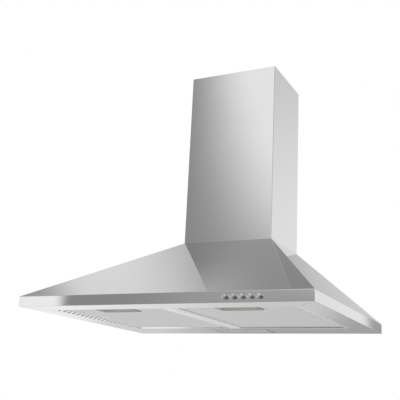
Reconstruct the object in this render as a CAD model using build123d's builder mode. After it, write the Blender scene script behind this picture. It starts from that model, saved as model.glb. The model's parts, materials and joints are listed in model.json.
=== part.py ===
from build123d import *
import os
from math import atan2, cos, degrees, hypot, radians, sin

# Wall mount range hood. Millimetres, +Z up, the front faces -Y and the wall is the plane Y = 0.
# The origin is the middle of the four wall fixing holes, on the wall.
# Heights are measured from the underside of the hood and depths from the wall.

# Overall form
HOOD_WIDTH = 598
HOOD_DEPTH = 480
BAND_HEIGHT = 20
CANOPY_HEIGHT = 184
CHIMNEY_WIDTH = 210
CHIMNEY_DEPTH = 170
CHIMNEY_TOP = 590
SHEET = 1.0
PANEL_SHEET = 1.5
SEAT_GAP = 0.3

# Wall fixing
FIXING_HEIGHT = 120
FIXING_SPACING_X = 200
FIXING_SPACING_Z = 80
FIXING_HOLE_RADIUS = 4

# Underside
FRONT_FLANGE = 55
SIDE_FLANGE = 42
RAIL_DEPTH = 98
RAIL_UPSTAND = 25
APERTURE_LIP = 6
SEAM_WIDTH = 0.6
SEAM_DEPTH = 0.3
SEAM_END = 1.5

# Chimney
TOP_FLANGE = 12
COVER_FOOT = 12
COVER_RETURN = 20
SLIDE_GAP = 0.5
EXTENSION_RETURN = 15
EXTENSION_LIFT = 6
EXTENSION_SETBACK = 1
WALL_BRACKET_HEIGHT = 30
WALL_BRACKET_DROP = 15
WALL_BRACKET_SHEET = 2
WALL_BRACKET_EAR = 14
WALL_BRACKET_HOLE_SPACING = 120
WALL_BRACKET_HOLE_RADIUS = 3

# Grease filters
FILTER_SIDE_GAP = 0.5
FILTER_MIDDLE_GAP = 1.0
FILTER_FRONT_GAP = 1.0
FILTER_REAR_GAP = 1.5
FILTER_THICKNESS = 10
FILTER_WALL = 1.0
FILTER_RIM = 7
RIM_HEIGHT = 3.5
TAB_WIDTH = 24
TAB_LENGTH = 10
TAB_THICKNESS = 1.2
TAB_SPACING = 150
TAB_LIFT = 0.4
CORRUGATION_PITCH = 6.0
CORRUGATION_HEIGHT = 1.6
MESH_THICKNESS = 0.7
CORE_THICKNESS = 1.5
BACK_THICKNESS = 0.8
LAYER_GAP = 0.1

# Filter handle and latch
CUP_WIDTH = 87
CUP_LENGTH = 35
CUP_SETBACK = 20
CUP_LEVEL = 2
CUP_TOP = 18
CUP_WALL = 2
CUP_BEZEL = 2
CUP_BEZEL_THICKNESS = 1.2
LATCH_WIDTH = 30
LATCH_THICKNESS = 1.8
LATCH_TRAVEL = 6
LATCH_GAP = 0.4
LATCH_TAB_THICKNESS = 3
LATCH_TAB_RISE = 6
LATCH_STOP_MARGIN = 2
UPSTAND_SETBACK = 8
UPSTAND_THICKNESS = 2
SPRING_RADIUS = 2
SPRING_WALL = 0.6

# Lamp
LENS_WIDTH = 124
LENS_LENGTH = 56
LENS_DEPTH = 54
LENS_THICKNESS = 2.5
LENS_LEDGE = 3
LAMP_HEIGHT = 40
LAMP_ROOM = 1
HOLDER_RADIUS = 14
HOLDER_LENGTH = 30
HOLDER_BORE_DEPTH = 20
BULB_CAP_RADIUS = 7
BULB_RADIUS = 12.5
BULB_NECK = 12
BULB_LENGTH = 70

# Push buttons and switch
BUTTON_COUNT = 5
BUTTON_PITCH = 15.7
BUTTON_INSET = 126
BUTTON_HEIGHT = 10
BUTTON_RADIUS = 4
BUTTON_PROUD = 8
BUTTON_TRAVEL = 3
BUTTON_GAP = 0.3
BUTTON_EDGE = 0.6
BUTTON_COLLAR_RADIUS = 5.2
BUTTON_COLLAR = 1
BUTTON_STEM_RADIUS = 2.5
BUTTON_STEM = 16
SWITCH_MARGIN = 11
SWITCH_HEIGHT = 15
SWITCH_DEPTH = 28
SWITCH_WALL = 3
SWITCH_BRACKET_SHEET = 1.2
SWITCH_BRACKET_MARGIN = 6

# Blower
BLOWER_HEIGHT = 150
SCROLL_RADIUS = 84
SCROLL_LENGTH = 124
SCROLL_WALL = 2
NECK_WIDTH = 124
NECK_TOP = 290
JOINT_FLANGE = 6
JOINT_FLANGE_SHEET = 3
INLET_RADIUS = 52
GUARD_RIM = 8
GUARD_SHEET = 2
GUARD_WIRE = 2
GUARD_RINGS = 4
IMPELLER_RADIUS = 70
IMPELLER_BLADE = 14
IMPELLER_BLADES = 24
IMPELLER_SHEET = 2
IMPELLER_LENGTH = 96
IMPELLER_REAR_ROOM = 15
IMPELLER_DISH_RADIUS = 46
IMPELLER_DISH = 58
HUB_RADIUS = 10
HUB_LENGTH = 12
MOTOR_RADIUS = 38
MOTOR_FACE_ROOM = 6
GROMMET_THICKNESS = 4
GROMMET_RADIUS = 6
GROMMET_HOLE = 2.5
GROMMET_CIRCLE_RADIUS = 28
GROMMET_COUNT = 3
SHAFT_RADIUS = 4
SHAFT_RUNNING = 0.05
SHAFT_BLIND = 6
BLOWER_BRACKET_SHEET = 1.5
BLOWER_BRACKET_WIDTH = 90
BLOWER_BRACKET_FOOT = 22
BLOWER_BRACKET_BOTTOM = 95
BLOWER_BRACKET_TOP = 172
CAPACITOR_RADIUS = 15
CAPACITOR_LENGTH = 55
CAPACITOR_X = -135
CAPACITOR_BOTTOM = 62

# Duct collar and dampers
COLLAR_RADIUS = 60
COLLAR_WALL = 2
COLLAR_HEIGHT = 47
COLLAR_BASE = 3
COLLAR_LEDGE = 3
COLLAR_LEDGE_HEIGHT = 2
DAMPER_LIFT = 10
DAMPER_PIN_RADIUS = 1.5
DAMPER_PIN_GAP = 0.1
DAMPER_KNUCKLE_RADIUS = 3
DAMPER_KNUCKLES = 4
DAMPER_SHEET = 1
DAMPER_GAP = 0.5
DAMPER_REACH_GAP = 1.5

# Wiring
TERMINAL_WIDTH = 80
TERMINAL_LENGTH = 60
TERMINAL_HEIGHT = 38
TERMINAL_WALL = 2
TERMINAL_X = 150
TERMINAL_DEPTH = 42
BLOCK_WIDTH = 40
BLOCK_LENGTH = 20
BLOCK_HEIGHT = 14
BLOCK_HOLE_RADIUS = 2
BLOCK_POLES = 3
GROMMET_BORE = 4
GROMMET_BARREL = 6
GROMMET_LIP = 2
GROMMET_LIP_THICKNESS = 2
HARNESS_RADIUS = 3
HARNESS_HEIGHT = 10
HARNESS_BEND = 18
LEAD_RADIUS = 2.5
LEAD_HEIGHT = 20
LEAD_BEND = 20
LEAD_REACH = 25
LEAD_WALL_DEPTH = 30
LEAD_TURN_HEIGHT = 140
CLIP_COUNT = 3
CLIP_PITCH = 120
CLIP_WIDTH = 12
CLIP_LENGTH = 8
CLIP_ROOF = 2.5

# Fasteners
SCREW_RADIUS = 1.9
SCREW_HOLE_GAP = 0.2
SCREW_HEAD_RADIUS = 3.5
SCREW_HEAD = 2.2
SMALL_SCREW_RADIUS = 1.4
SMALL_SCREW_HEAD_RADIUS = 2.6
SMALL_SCREW_HEAD = 1.8
RAIL_SCREW_HEIGHT = 14
RAIL_SCREW_X = (-230, -85, 85, 230)
BRACKET_SCREW_MARGIN = 12
CHIMNEY_SCREW_DEPTH = 100
HOUSING_SCREW_ANGLES = (200, 245, 295, 340)
HOUSING_NECK_SCREW_DROP = 40
COLLAR_SCREW_MARGIN = 3

os.makedirs("parts", exist_ok=True)


def level(height):
    """Z of a height above the underside."""
    return height - FIXING_HEIGHT


def canopy_half_width(height):
    """Half the canopy's width at a height on its slope."""
    rise = (CANOPY_HEIGHT - height) / (CANOPY_HEIGHT - BAND_HEIGHT)
    return CHIMNEY_WIDTH / 2 + rise * (HOOD_WIDTH - CHIMNEY_WIDTH) / 2


def canopy_depth(height):
    """The canopy's depth from the wall at a height on its slope."""
    rise = (CANOPY_HEIGHT - height) / (CANOPY_HEIGHT - BAND_HEIGHT)
    return CHIMNEY_DEPTH + rise * (HOOD_DEPTH - CHIMNEY_DEPTH)


def save(piece, label):
    """Name a finished piece and write it."""
    piece.part.label = label
    export_step(piece.part, f"parts/{label}.step")


# Values that several pieces share
slope_rise = CANOPY_HEIGHT - BAND_HEIGHT
side_inset = SHEET * hypot(slope_rise, (HOOD_WIDTH - CHIMNEY_WIDTH) / 2) / slope_rise
front_inset = SHEET * hypot(slope_rise, HOOD_DEPTH - CHIMNEY_DEPTH) / slope_rise
aperture_width = HOOD_WIDTH - 2 * SIDE_FLANGE
aperture_front = HOOD_DEPTH - FRONT_FLANGE
aperture_length = aperture_front - RAIL_DEPTH
blower_depth = CHIMNEY_DEPTH / 2
button_centre_x = HOOD_WIDTH / 2 - BUTTON_INSET
button_xs = [button_centre_x + (i - (BUTTON_COUNT - 1) / 2) * BUTTON_PITCH for i in range(BUTTON_COUNT)]
screw_hole = SCREW_RADIUS + SCREW_HOLE_GAP
chimney_screw_x = CHIMNEY_WIDTH / 2 - SHEET - COVER_FOOT / 2
bracket_screw_x = BLOWER_BRACKET_WIDTH / 2 + BLOWER_BRACKET_FOOT / 2
bracket_screw_low = level(BLOWER_BRACKET_BOTTOM + BRACKET_SCREW_MARGIN)
bracket_screw_high = level(BLOWER_BRACKET_TOP - BRACKET_SCREW_MARGIN)
bracket_screw_places = [
    (side * bracket_screw_x, z) for side in (-1, 1) for z in (bracket_screw_low, bracket_screw_high)
]
rail_screw_places = [(x, level(RAIL_SCREW_HEIGHT)) for x in RAIL_SCREW_X]


# Canopy: a straight band, three slopes, bottom flanges round the filters and a top flange
with BuildPart() as canopy_shell:
    with BuildSketch(Plane.XY.offset(level(0))):
        with Locations((0, -HOOD_DEPTH / 2)):
            Rectangle(HOOD_WIDTH, HOOD_DEPTH)
    extrude(amount=BAND_HEIGHT)
    with BuildSketch(Plane.XY.offset(level(BAND_HEIGHT))):
        with Locations((0, -HOOD_DEPTH / 2)):
            Rectangle(HOOD_WIDTH, HOOD_DEPTH)
    with BuildSketch(Plane.XY.offset(level(CANOPY_HEIGHT))):
        with Locations((0, -CHIMNEY_DEPTH / 2)):
            Rectangle(CHIMNEY_WIDTH, CHIMNEY_DEPTH)
    loft(ruled=True)
    # The hollow is open at the back
    with BuildSketch(Plane.XY.offset(level(SHEET))):
        with Locations((0, -(HOOD_DEPTH - SHEET) / 2)):
            Rectangle(HOOD_WIDTH - 2 * SHEET, HOOD_DEPTH - SHEET)
    extrude(amount=BAND_HEIGHT - SHEET, mode=Mode.SUBTRACT)
    hollow_top = CANOPY_HEIGHT - SHEET
    for height in (BAND_HEIGHT, hollow_top):
        inner_depth = canopy_depth(height) - front_inset
        with BuildSketch(Plane.XY.offset(level(height))):
            with Locations((0, -inner_depth / 2)):
                Rectangle(2 * (canopy_half_width(height) - side_inset), inner_depth)
    loft(ruled=True, mode=Mode.SUBTRACT)
    # Opening for the filters and the rear rail, and the opening under the chimney
    with BuildSketch(Plane.XY.offset(level(0))):
        with Locations((0, -aperture_front / 2)):
            Rectangle(aperture_width, aperture_front)
    extrude(amount=SHEET, mode=Mode.SUBTRACT)
    with BuildSketch(Plane.XY.offset(level(hollow_top))):
        with Locations((0, -(CHIMNEY_DEPTH - TOP_FLANGE) / 2)):
            Rectangle(CHIMNEY_WIDTH - 2 * TOP_FLANGE, CHIMNEY_DEPTH - TOP_FLANGE)
        with Locations((-chimney_screw_x, -CHIMNEY_SCREW_DEPTH), (chimney_screw_x, -CHIMNEY_SCREW_DEPTH)):
            Circle(screw_hole)
    extrude(amount=SHEET, mode=Mode.SUBTRACT)
    # Turned-up edge round the front and sides of the filter opening
    with BuildSketch(Plane.XY.offset(level(SHEET))):
        with Locations((0, -RAIL_DEPTH - (aperture_length + SHEET) / 2)):
            Rectangle(aperture_width + 2 * SHEET, aperture_length + SHEET)
        with Locations((0, -RAIL_DEPTH - aperture_length / 2)):
            Rectangle(aperture_width, aperture_length, mode=Mode.SUBTRACT)
    extrude(amount=APERTURE_LIP - SHEET)
    # Mitre seams at the front corners of the flanges
    seam_length = hypot(FRONT_FLANGE, SIDE_FLANGE) - 2 * SEAM_END
    with BuildSketch(Plane.XY.offset(level(0))):
        for side in (-1, 1):
            seam_x = side * (HOOD_WIDTH - SIDE_FLANGE) / 2
            seam_angle = degrees(atan2(FRONT_FLANGE, -side * SIDE_FLANGE))
            with Locations((seam_x, -HOOD_DEPTH + FRONT_FLANGE / 2)):
                Rectangle(seam_length, SEAM_WIDTH, rotation=seam_angle)
    extrude(amount=SEAM_DEPTH, mode=Mode.SUBTRACT)
    # Holes for the push buttons
    with BuildSketch(Plane.XZ.offset(HOOD_DEPTH - SHEET)):
        with Locations(*[(x, level(BUTTON_HEIGHT)) for x in button_xs]):
            Circle(BUTTON_RADIUS + BUTTON_GAP)
    extrude(amount=SHEET, mode=Mode.SUBTRACT)
save(canopy_shell, "canopy_shell")

# Rear panel: closes the back between the canopy's walls and carries the wall fixings
panel_bottom = SHEET + SEAT_GAP
panel_top = CANOPY_HEIGHT - SHEET - SEAT_GAP
panel_low = canopy_half_width(BAND_HEIGHT) - side_inset - SEAT_GAP
panel_high = canopy_half_width(panel_top) - side_inset - SEAT_GAP
with BuildPart() as rear_panel:
    with BuildSketch(Plane.XZ):
        with BuildLine():
            Polyline(
                (-panel_low, level(panel_bottom)),
                (panel_low, level(panel_bottom)),
                (panel_low, level(BAND_HEIGHT)),
                (panel_high, level(panel_top)),
                (-panel_high, level(panel_top)),
                (-panel_low, level(BAND_HEIGHT)),
                close=True,
            )
        make_face()
        with GridLocations(FIXING_SPACING_X, FIXING_SPACING_Z, 2, 2):
            Circle(FIXING_HOLE_RADIUS, mode=Mode.SUBTRACT)
        with Locations(*bracket_screw_places, *rail_screw_places):
            Circle(screw_hole, mode=Mode.SUBTRACT)
    extrude(amount=PANEL_SHEET)
save(rear_panel, "rear_panel")

# Rear rail: the strip behind the filters, with an upstand that is screwed to the rear panel
rail_width = aperture_width - 2 * SEAT_GAP
with BuildPart() as rear_rail:
    with BuildSketch(Plane.XY.offset(level(0))):
        with Locations((0, -(RAIL_DEPTH + PANEL_SHEET) / 2)):
            Rectangle(rail_width, RAIL_DEPTH - PANEL_SHEET)
        with Locations((0, -LENS_DEPTH)):
            Rectangle(LENS_WIDTH + 2 * SEAT_GAP, LENS_LENGTH + 2 * SEAT_GAP, mode=Mode.SUBTRACT)
    extrude(amount=SHEET)
    with BuildSketch(Plane.XZ.offset(PANEL_SHEET)):
        with Locations((0, level(RAIL_UPSTAND / 2))):
            Rectangle(rail_width, RAIL_UPSTAND)
        with Locations(*rail_screw_places):
            Circle(screw_hole, mode=Mode.SUBTRACT)
    extrude(amount=SHEET)
save(rear_rail, "rear_rail")

# Chimney cover: a U-shaped sleeve with rear returns, standing on the canopy by two inward feet
with BuildPart() as chimney_cover:
    with BuildSketch(Plane.XY.offset(level(CANOPY_HEIGHT))):
        with Locations((0, -CHIMNEY_DEPTH / 2)):
            Rectangle(CHIMNEY_WIDTH, CHIMNEY_DEPTH)
            Rectangle(CHIMNEY_WIDTH - 2 * SHEET, CHIMNEY_DEPTH - 2 * SHEET, mode=Mode.SUBTRACT)
        with Locations((0, -SHEET / 2)):
            Rectangle(CHIMNEY_WIDTH - 2 * COVER_RETURN, SHEET, mode=Mode.SUBTRACT)
    extrude(amount=CHIMNEY_TOP - CANOPY_HEIGHT)
    with BuildSketch(Plane.XY.offset(level(CANOPY_HEIGHT))):
        with Locations((-chimney_screw_x, -CHIMNEY_DEPTH / 2), (chimney_screw_x, -CHIMNEY_DEPTH / 2)):
            Rectangle(COVER_FOOT, CHIMNEY_DEPTH - 2 * SHEET)
        with Locations((-chimney_screw_x, -CHIMNEY_SCREW_DEPTH), (chimney_screw_x, -CHIMNEY_SCREW_DEPTH)):
            Circle(screw_hole, mode=Mode.SUBTRACT)
    extrude(amount=SHEET)
save(chimney_cover, "chimney_cover")

# Chimney extension: the same section one sheet and one gap smaller, inside the cover
extension_width = CHIMNEY_WIDTH - 2 * (SHEET + SLIDE_GAP)
extension_rear = SHEET + SLIDE_GAP
extension_length = CHIMNEY_DEPTH - 2 * extension_rear
extension_bottom = CANOPY_HEIGHT + SHEET + EXTENSION_LIFT
with BuildPart() as chimney_extension:
    with BuildSketch(Plane.XY.offset(level(extension_bottom))):
        with Locations((0, -CHIMNEY_DEPTH / 2)):
            Rectangle(extension_width, extension_length)
            Rectangle(extension_width - 2 * SHEET, extension_length - 2 * SHEET, mode=Mode.SUBTRACT)
        with Locations((0, -extension_rear - SHEET / 2)):
            Rectangle(extension_width - 2 * EXTENSION_RETURN, SHEET, mode=Mode.SUBTRACT)
    extrude(amount=CHIMNEY_TOP - EXTENSION_SETBACK - extension_bottom)
save(chimney_extension, "chimney_extension")

# Chimney wall bracket: a plate on the wall between the cover's returns, with two ears
wall_bracket_width = CHIMNEY_WIDTH - 2 * (COVER_RETURN + SEAT_GAP)
wall_bracket_height = CHIMNEY_TOP - WALL_BRACKET_DROP - WALL_BRACKET_HEIGHT / 2
with BuildPart() as chimney_wall_bracket:
    with BuildSketch(Plane.XZ):
        with Locations((0, level(wall_bracket_height))):
            Rectangle(wall_bracket_width, WALL_BRACKET_HEIGHT)
            with GridLocations(WALL_BRACKET_HOLE_SPACING, 0, 2, 1):
                Circle(WALL_BRACKET_HOLE_RADIUS, mode=Mode.SUBTRACT)
    extrude(amount=WALL_BRACKET_SHEET)
    ear_x = (wall_bracket_width - WALL_BRACKET_SHEET) / 2
    with BuildSketch(Plane.XZ):
        with Locations((-ear_x, level(wall_bracket_height)), (ear_x, level(wall_bracket_height))):
            Rectangle(WALL_BRACKET_SHEET, WALL_BRACKET_HEIGHT)
    extrude(amount=WALL_BRACKET_EAR)
save(chimney_wall_bracket, "chimney_wall_bracket")


# Grease filters
filter_width = (aperture_width - 2 * FILTER_SIDE_GAP - FILTER_MIDDLE_GAP) / 2
filter_rear = RAIL_DEPTH + FILTER_REAR_GAP
filter_front = aperture_front - FILTER_FRONT_GAP
filter_length = filter_front - filter_rear
filter_middle = (filter_front + filter_rear) / 2
mesh_width = filter_width - 2 * (FILTER_WALL + SEAT_GAP)
mesh_length = filter_length - 2 * (FILTER_WALL + SEAT_GAP)
face_bottom = RIM_HEIGHT + LAYER_GAP
face_top = face_bottom + CORRUGATION_HEIGHT + MESH_THICKNESS
core_bottom = face_top + LAYER_GAP
back_bottom = core_bottom + CORE_THICKNESS + LAYER_GAP
cup_front = aperture_front - CUP_SETBACK
cup_middle = cup_front - CUP_LENGTH / 2
cup_outer_front = cup_front + CUP_WALL
cup_hole_width = CUP_WIDTH + 2 * (CUP_WALL + SEAT_GAP)
cup_hole_length = CUP_LENGTH + 2 * (CUP_WALL + SEAT_GAP)
latch_level = APERTURE_LIP + LATCH_GAP
latch_top = latch_level + LATCH_THICKNESS
latch_slot_width = LATCH_WIDTH + 2 * LATCH_GAP
latch_slot_height = LATCH_THICKNESS + 2 * LATCH_GAP
latch_nose = filter_front - SEAT_GAP
latch_tab_front = cup_front - LATCH_TRAVEL - LATCH_STOP_MARGIN
upstand_front = filter_front - UPSTAND_SETBACK
upstand_rear = upstand_front - UPSTAND_THICKNESS
spring_height = latch_top + SEAT_GAP + SPRING_RADIUS


def make_filter(side, name):
    """One grease filter with its mesh layers, handle cup, latch and latch spring."""
    middle_x = side * (filter_width + FILTER_MIDDLE_GAP) / 2

    # Frame: a rim below, a channel for the mesh, a top lip, a latch slot and two rear tabs
    with BuildPart() as frame:
        with BuildSketch(Plane.XY.offset(level(0))):
            with Locations((middle_x, -filter_middle)):
                Rectangle(filter_width, filter_length)
                Rectangle(filter_width - 2 * FILTER_RIM, filter_length - 2 * FILTER_RIM, mode=Mode.SUBTRACT)
        extrude(amount=FILTER_THICKNESS)
        with BuildSketch(Plane.XY.offset(level(RIM_HEIGHT))):
            with Locations((middle_x, -filter_middle)):
                Rectangle(filter_width - 2 * FILTER_WALL, filter_length - 2 * FILTER_WALL)
        extrude(amount=FILTER_THICKNESS - FILTER_WALL - RIM_HEIGHT, mode=Mode.SUBTRACT)
        with BuildSketch(Plane.XZ.offset(filter_front - FILTER_WALL)):
            with Locations((middle_x, level(latch_level + LATCH_THICKNESS / 2))):
                Rectangle(latch_slot_width, latch_slot_height)
        extrude(amount=FILTER_WALL, mode=Mode.SUBTRACT)
        with BuildSketch(Plane.XY.offset(level(FILTER_THICKNESS - FILTER_WALL))):
            with Locations((middle_x, -filter_front + (FILTER_RIM + FILTER_WALL) / 2)):
                Rectangle(latch_slot_width, FILTER_RIM - FILTER_WALL)
        extrude(amount=FILTER_WALL, mode=Mode.SUBTRACT)
        tab_y = -filter_rear + (TAB_LENGTH - FILTER_WALL) / 2
        with BuildSketch(Plane.XY.offset(level(SHEET + TAB_LIFT))):
            with Locations((middle_x, tab_y)):
                with GridLocations(TAB_SPACING, 0, 2, 1):
                    Rectangle(TAB_WIDTH, TAB_LENGTH + FILTER_WALL)
        extrude(amount=TAB_THICKNESS)
    save(frame, f"filter_frame_{name}")

    # Face: a corrugated mesh sheet, its waves running from front to back
    waves = round(mesh_width / CORRUGATION_PITCH)
    step = mesh_width / (2 * waves)
    start_x = middle_x - mesh_width / 2
    lower = [
        (start_x + i * step, level(face_bottom + (i % 2) * CORRUGATION_HEIGHT))
        for i in range(2 * waves + 1)
    ]
    upper = [(x, z + MESH_THICKNESS) for x, z in reversed(lower)]
    with BuildPart() as face:
        with BuildSketch(Plane.XZ.offset(filter_middle - mesh_length / 2)):
            with BuildLine():
                Polyline(*lower, *upper, close=True)
            make_face()
        extrude(amount=mesh_length)
        with BuildSketch(Plane.XY.offset(level(0))):
            with Locations((middle_x, -cup_middle)):
                Rectangle(cup_hole_width, cup_hole_length)
        extrude(amount=FILTER_THICKNESS, mode=Mode.SUBTRACT)
    save(face, f"filter_face_{name}")

    # Inner layers: flat mesh packs, cut away round the cup and along the latch
    layers = (("core", core_bottom, CORE_THICKNESS), ("back", back_bottom, BACK_THICKNESS))
    for layer_name, bottom, thickness in layers:
        with BuildPart() as layer:
            with BuildSketch(Plane.XY.offset(level(bottom))):
                with Locations((middle_x, -filter_middle)):
                    Rectangle(mesh_width, mesh_length)
                with Locations((middle_x, -cup_middle)):
                    Rectangle(cup_hole_width, cup_hole_length, mode=Mode.SUBTRACT)
                with Locations((middle_x, -(cup_middle + filter_front) / 2)):
                    Rectangle(latch_slot_width, filter_front - cup_middle, mode=Mode.SUBTRACT)
            extrude(amount=thickness)
        save(layer, f"filter_{layer_name}_{name}")

    # Handle cup: a finger recess, open below, with a narrow bezel and a slot for the latch
    bezel_edge = CUP_WALL + CUP_BEZEL
    with BuildPart() as cup:
        with BuildSketch(Plane.XY.offset(level(CUP_LEVEL))):
            with Locations((middle_x, -cup_middle)):
                Rectangle(CUP_WIDTH + 2 * CUP_WALL, CUP_LENGTH + 2 * CUP_WALL)
        extrude(amount=CUP_TOP - CUP_LEVEL)
        with BuildSketch(Plane.XY.offset(level(CUP_LEVEL))):
            with Locations((middle_x, -cup_middle)):
                Rectangle(CUP_WIDTH + 2 * bezel_edge, CUP_LENGTH + 2 * bezel_edge)
        extrude(amount=CUP_BEZEL_THICKNESS)
        with BuildSketch(Plane.XY.offset(level(CUP_LEVEL))):
            with Locations((middle_x, -cup_middle)):
                RectangleRounded(CUP_WIDTH, CUP_LENGTH, CUP_WALL)
        extrude(amount=CUP_TOP - CUP_WALL - CUP_LEVEL, mode=Mode.SUBTRACT)
        with BuildSketch(Plane.XZ.offset(cup_front)):
            with Locations((middle_x, level(latch_level + LATCH_THICKNESS / 2))):
                Rectangle(latch_slot_width, latch_slot_height)
        extrude(amount=CUP_WALL, mode=Mode.SUBTRACT)
    save(cup, f"handle_cup_{name}")

    # Latch: a sliding tongue with a finger tab in the cup and an upstand for its spring
    with BuildPart() as latch:
        tongue_length = latch_nose - latch_tab_front + LATCH_TAB_THICKNESS
        with BuildSketch(Plane.XY.offset(level(latch_level))):
            with Locations((middle_x, -latch_nose + tongue_length / 2)):
                Rectangle(LATCH_WIDTH, tongue_length)
        extrude(amount=LATCH_THICKNESS)
        with BuildSketch(Plane.XY.offset(level(latch_level))):
            with Locations((middle_x, -latch_tab_front + LATCH_TAB_THICKNESS / 2)):
                Rectangle(LATCH_WIDTH, LATCH_TAB_THICKNESS)
        extrude(amount=LATCH_TAB_RISE)
        with BuildSketch(Plane.XY.offset(level(latch_top))):
            with Locations((middle_x, -(upstand_front + upstand_rear) / 2)):
                Rectangle(LATCH_WIDTH, UPSTAND_THICKNESS)
        extrude(amount=2 * (SPRING_RADIUS + SEAT_GAP))
    save(latch, f"latch_{name}")

    # Latch spring: a short sleeve between the cup and the latch's upstand
    with BuildPart() as spring:
        with BuildSketch(Plane.XZ.offset(cup_outer_front + SEAT_GAP)):
            with Locations((middle_x, level(spring_height))):
                Circle(SPRING_RADIUS)
                Circle(SPRING_RADIUS - SPRING_WALL, mode=Mode.SUBTRACT)
        extrude(amount=upstand_rear - cup_outer_front - 2 * SEAT_GAP)
    save(spring, f"latch_spring_{name}")


make_filter(-1, "left")
make_filter(1, "right")


# Lamp lens: a diffuser flush with the rail, hung on its ledge
with BuildPart() as lamp_lens:
    with BuildSketch(Plane.XY.offset(level(0))):
        with Locations((0, -LENS_DEPTH)):
            Rectangle(LENS_WIDTH, LENS_LENGTH)
    extrude(amount=LENS_THICKNESS)
    with BuildSketch(Plane.XY.offset(level(SHEET))):
        with Locations((0, -LENS_DEPTH)):
            Rectangle(LENS_WIDTH + 2 * LENS_LEDGE, LENS_LENGTH + 2 * LENS_LEDGE)
    extrude(amount=LENS_THICKNESS - SHEET)
save(lamp_lens, "lamp_lens")

# Lamp housing: a box over the lens, standing on the rail
lamp_inner_width = LENS_WIDTH + 2 * (LENS_LEDGE + LAMP_ROOM)
lamp_inner_length = LENS_LENGTH + 2 * (LENS_LEDGE + LAMP_ROOM)
with BuildPart() as lamp_housing:
    with BuildSketch(Plane.XY.offset(level(SHEET))):
        with Locations((0, -LENS_DEPTH)):
            Rectangle(lamp_inner_width + 2 * SHEET, lamp_inner_length + 2 * SHEET)
    extrude(amount=LAMP_HEIGHT - SHEET)
    with BuildSketch(Plane.XY.offset(level(SHEET))):
        with Locations((0, -LENS_DEPTH)):
            Rectangle(lamp_inner_width, lamp_inner_length)
    extrude(amount=LAMP_HEIGHT - 2 * SHEET, mode=Mode.SUBTRACT)
save(lamp_housing, "lamp_housing")

# Lamp holder: a socket on the housing's left wall
lamp_axis_height = (LENS_THICKNESS + LAMP_HEIGHT - SHEET) / 2
holder_face_x = -lamp_inner_width / 2 + HOLDER_LENGTH
with BuildPart() as lamp_holder:
    with BuildSketch(Plane.YZ.offset(-lamp_inner_width / 2)):
        with Locations((-LENS_DEPTH, level(lamp_axis_height))):
            Circle(HOLDER_RADIUS)
    extrude(amount=HOLDER_LENGTH)
    with BuildSketch(Plane.YZ.offset(holder_face_x - HOLDER_BORE_DEPTH)):
        with Locations((-LENS_DEPTH, level(lamp_axis_height))):
            Circle(BULB_CAP_RADIUS + SEAT_GAP)
    extrude(amount=HOLDER_BORE_DEPTH, mode=Mode.SUBTRACT)
save(lamp_holder, "lamp_holder")

# Lamp bulb: a screw cap in the holder and a tubular glass with a round end
bulb_start = holder_face_x - HOLDER_BORE_DEPTH + SEAT_GAP
bulb_shoulder = holder_face_x + SEAT_GAP
bulb_end = bulb_shoulder + BULB_LENGTH
bulb_axis = Plane(origin=(0, -LENS_DEPTH, level(lamp_axis_height)), x_dir=(1, 0, 0), z_dir=(0, -1, 0))
with BuildPart() as lamp_bulb:
    with BuildSketch(bulb_axis):
        with BuildLine():
            Polyline(
                (bulb_end - BULB_RADIUS, 0),
                (bulb_start, 0),
                (bulb_start, BULB_CAP_RADIUS),
                (bulb_shoulder, BULB_CAP_RADIUS),
                (bulb_shoulder + BULB_NECK, BULB_RADIUS),
                (bulb_end - BULB_RADIUS, BULB_RADIUS),
            )
            CenterArc((bulb_end - BULB_RADIUS, 0), BULB_RADIUS, 0, 90)
            Line((bulb_end, 0), (bulb_end - BULB_RADIUS, 0))
        make_face()
    revolve(axis=Axis((0, -LENS_DEPTH, level(lamp_axis_height)), (1, 0, 0)))
save(lamp_bulb, "lamp_bulb")


# Push buttons: a chrome cap, a retaining collar behind the band and a stem into the switch
button_face = HOOD_DEPTH + BUTTON_PROUD
collar_front = HOOD_DEPTH - SHEET - BUTTON_GAP
switch_front = collar_front - BUTTON_COLLAR - BUTTON_TRAVEL - BUTTON_GAP
stem_end = collar_front - BUTTON_COLLAR - BUTTON_STEM
for number, button_x in enumerate(button_xs, start=1):
    with BuildPart() as button:
        with BuildSketch(Plane.XZ.offset(collar_front)):
            with Locations((button_x, level(BUTTON_HEIGHT))):
                Circle(BUTTON_RADIUS)
        extrude(amount=button_face - collar_front)
        fillet(button.edges().sort_by(Axis.Y)[0], BUTTON_EDGE)
        with BuildSketch(Plane.XZ.offset(collar_front - BUTTON_COLLAR)):
            with Locations((button_x, level(BUTTON_HEIGHT))):
                Circle(BUTTON_COLLAR_RADIUS)
        extrude(amount=BUTTON_COLLAR)
        with BuildSketch(Plane.XZ.offset(stem_end)):
            with Locations((button_x, level(BUTTON_HEIGHT))):
                Circle(BUTTON_STEM_RADIUS)
        extrude(amount=BUTTON_STEM)
    save(button, f"button_{number}")

# Switch bracket: an angle on the front flange under and behind the switch
switch_width = (BUTTON_COUNT - 1) * BUTTON_PITCH + 2 * SWITCH_MARGIN
switch_rear = switch_front - SWITCH_DEPTH
switch_bottom = SHEET + SWITCH_BRACKET_SHEET
bracket_width = switch_width + 2 * SWITCH_BRACKET_MARGIN
with BuildPart() as switch_bracket:
    with BuildSketch(Plane.YZ.offset(button_centre_x - bracket_width / 2)):
        with BuildLine():
            Polyline(
                (-switch_front, level(SHEET)),
                (-switch_rear + SWITCH_BRACKET_SHEET, level(SHEET)),
                (-switch_rear + SWITCH_BRACKET_SHEET, level(switch_bottom + SWITCH_HEIGHT)),
                (-switch_rear, level(switch_bottom + SWITCH_HEIGHT)),
                (-switch_rear, level(switch_bottom)),
                (-switch_front, level(switch_bottom)),
                close=True,
            )
        make_face()
    extrude(amount=bracket_width)
save(switch_bracket, "switch_bracket")

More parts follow.
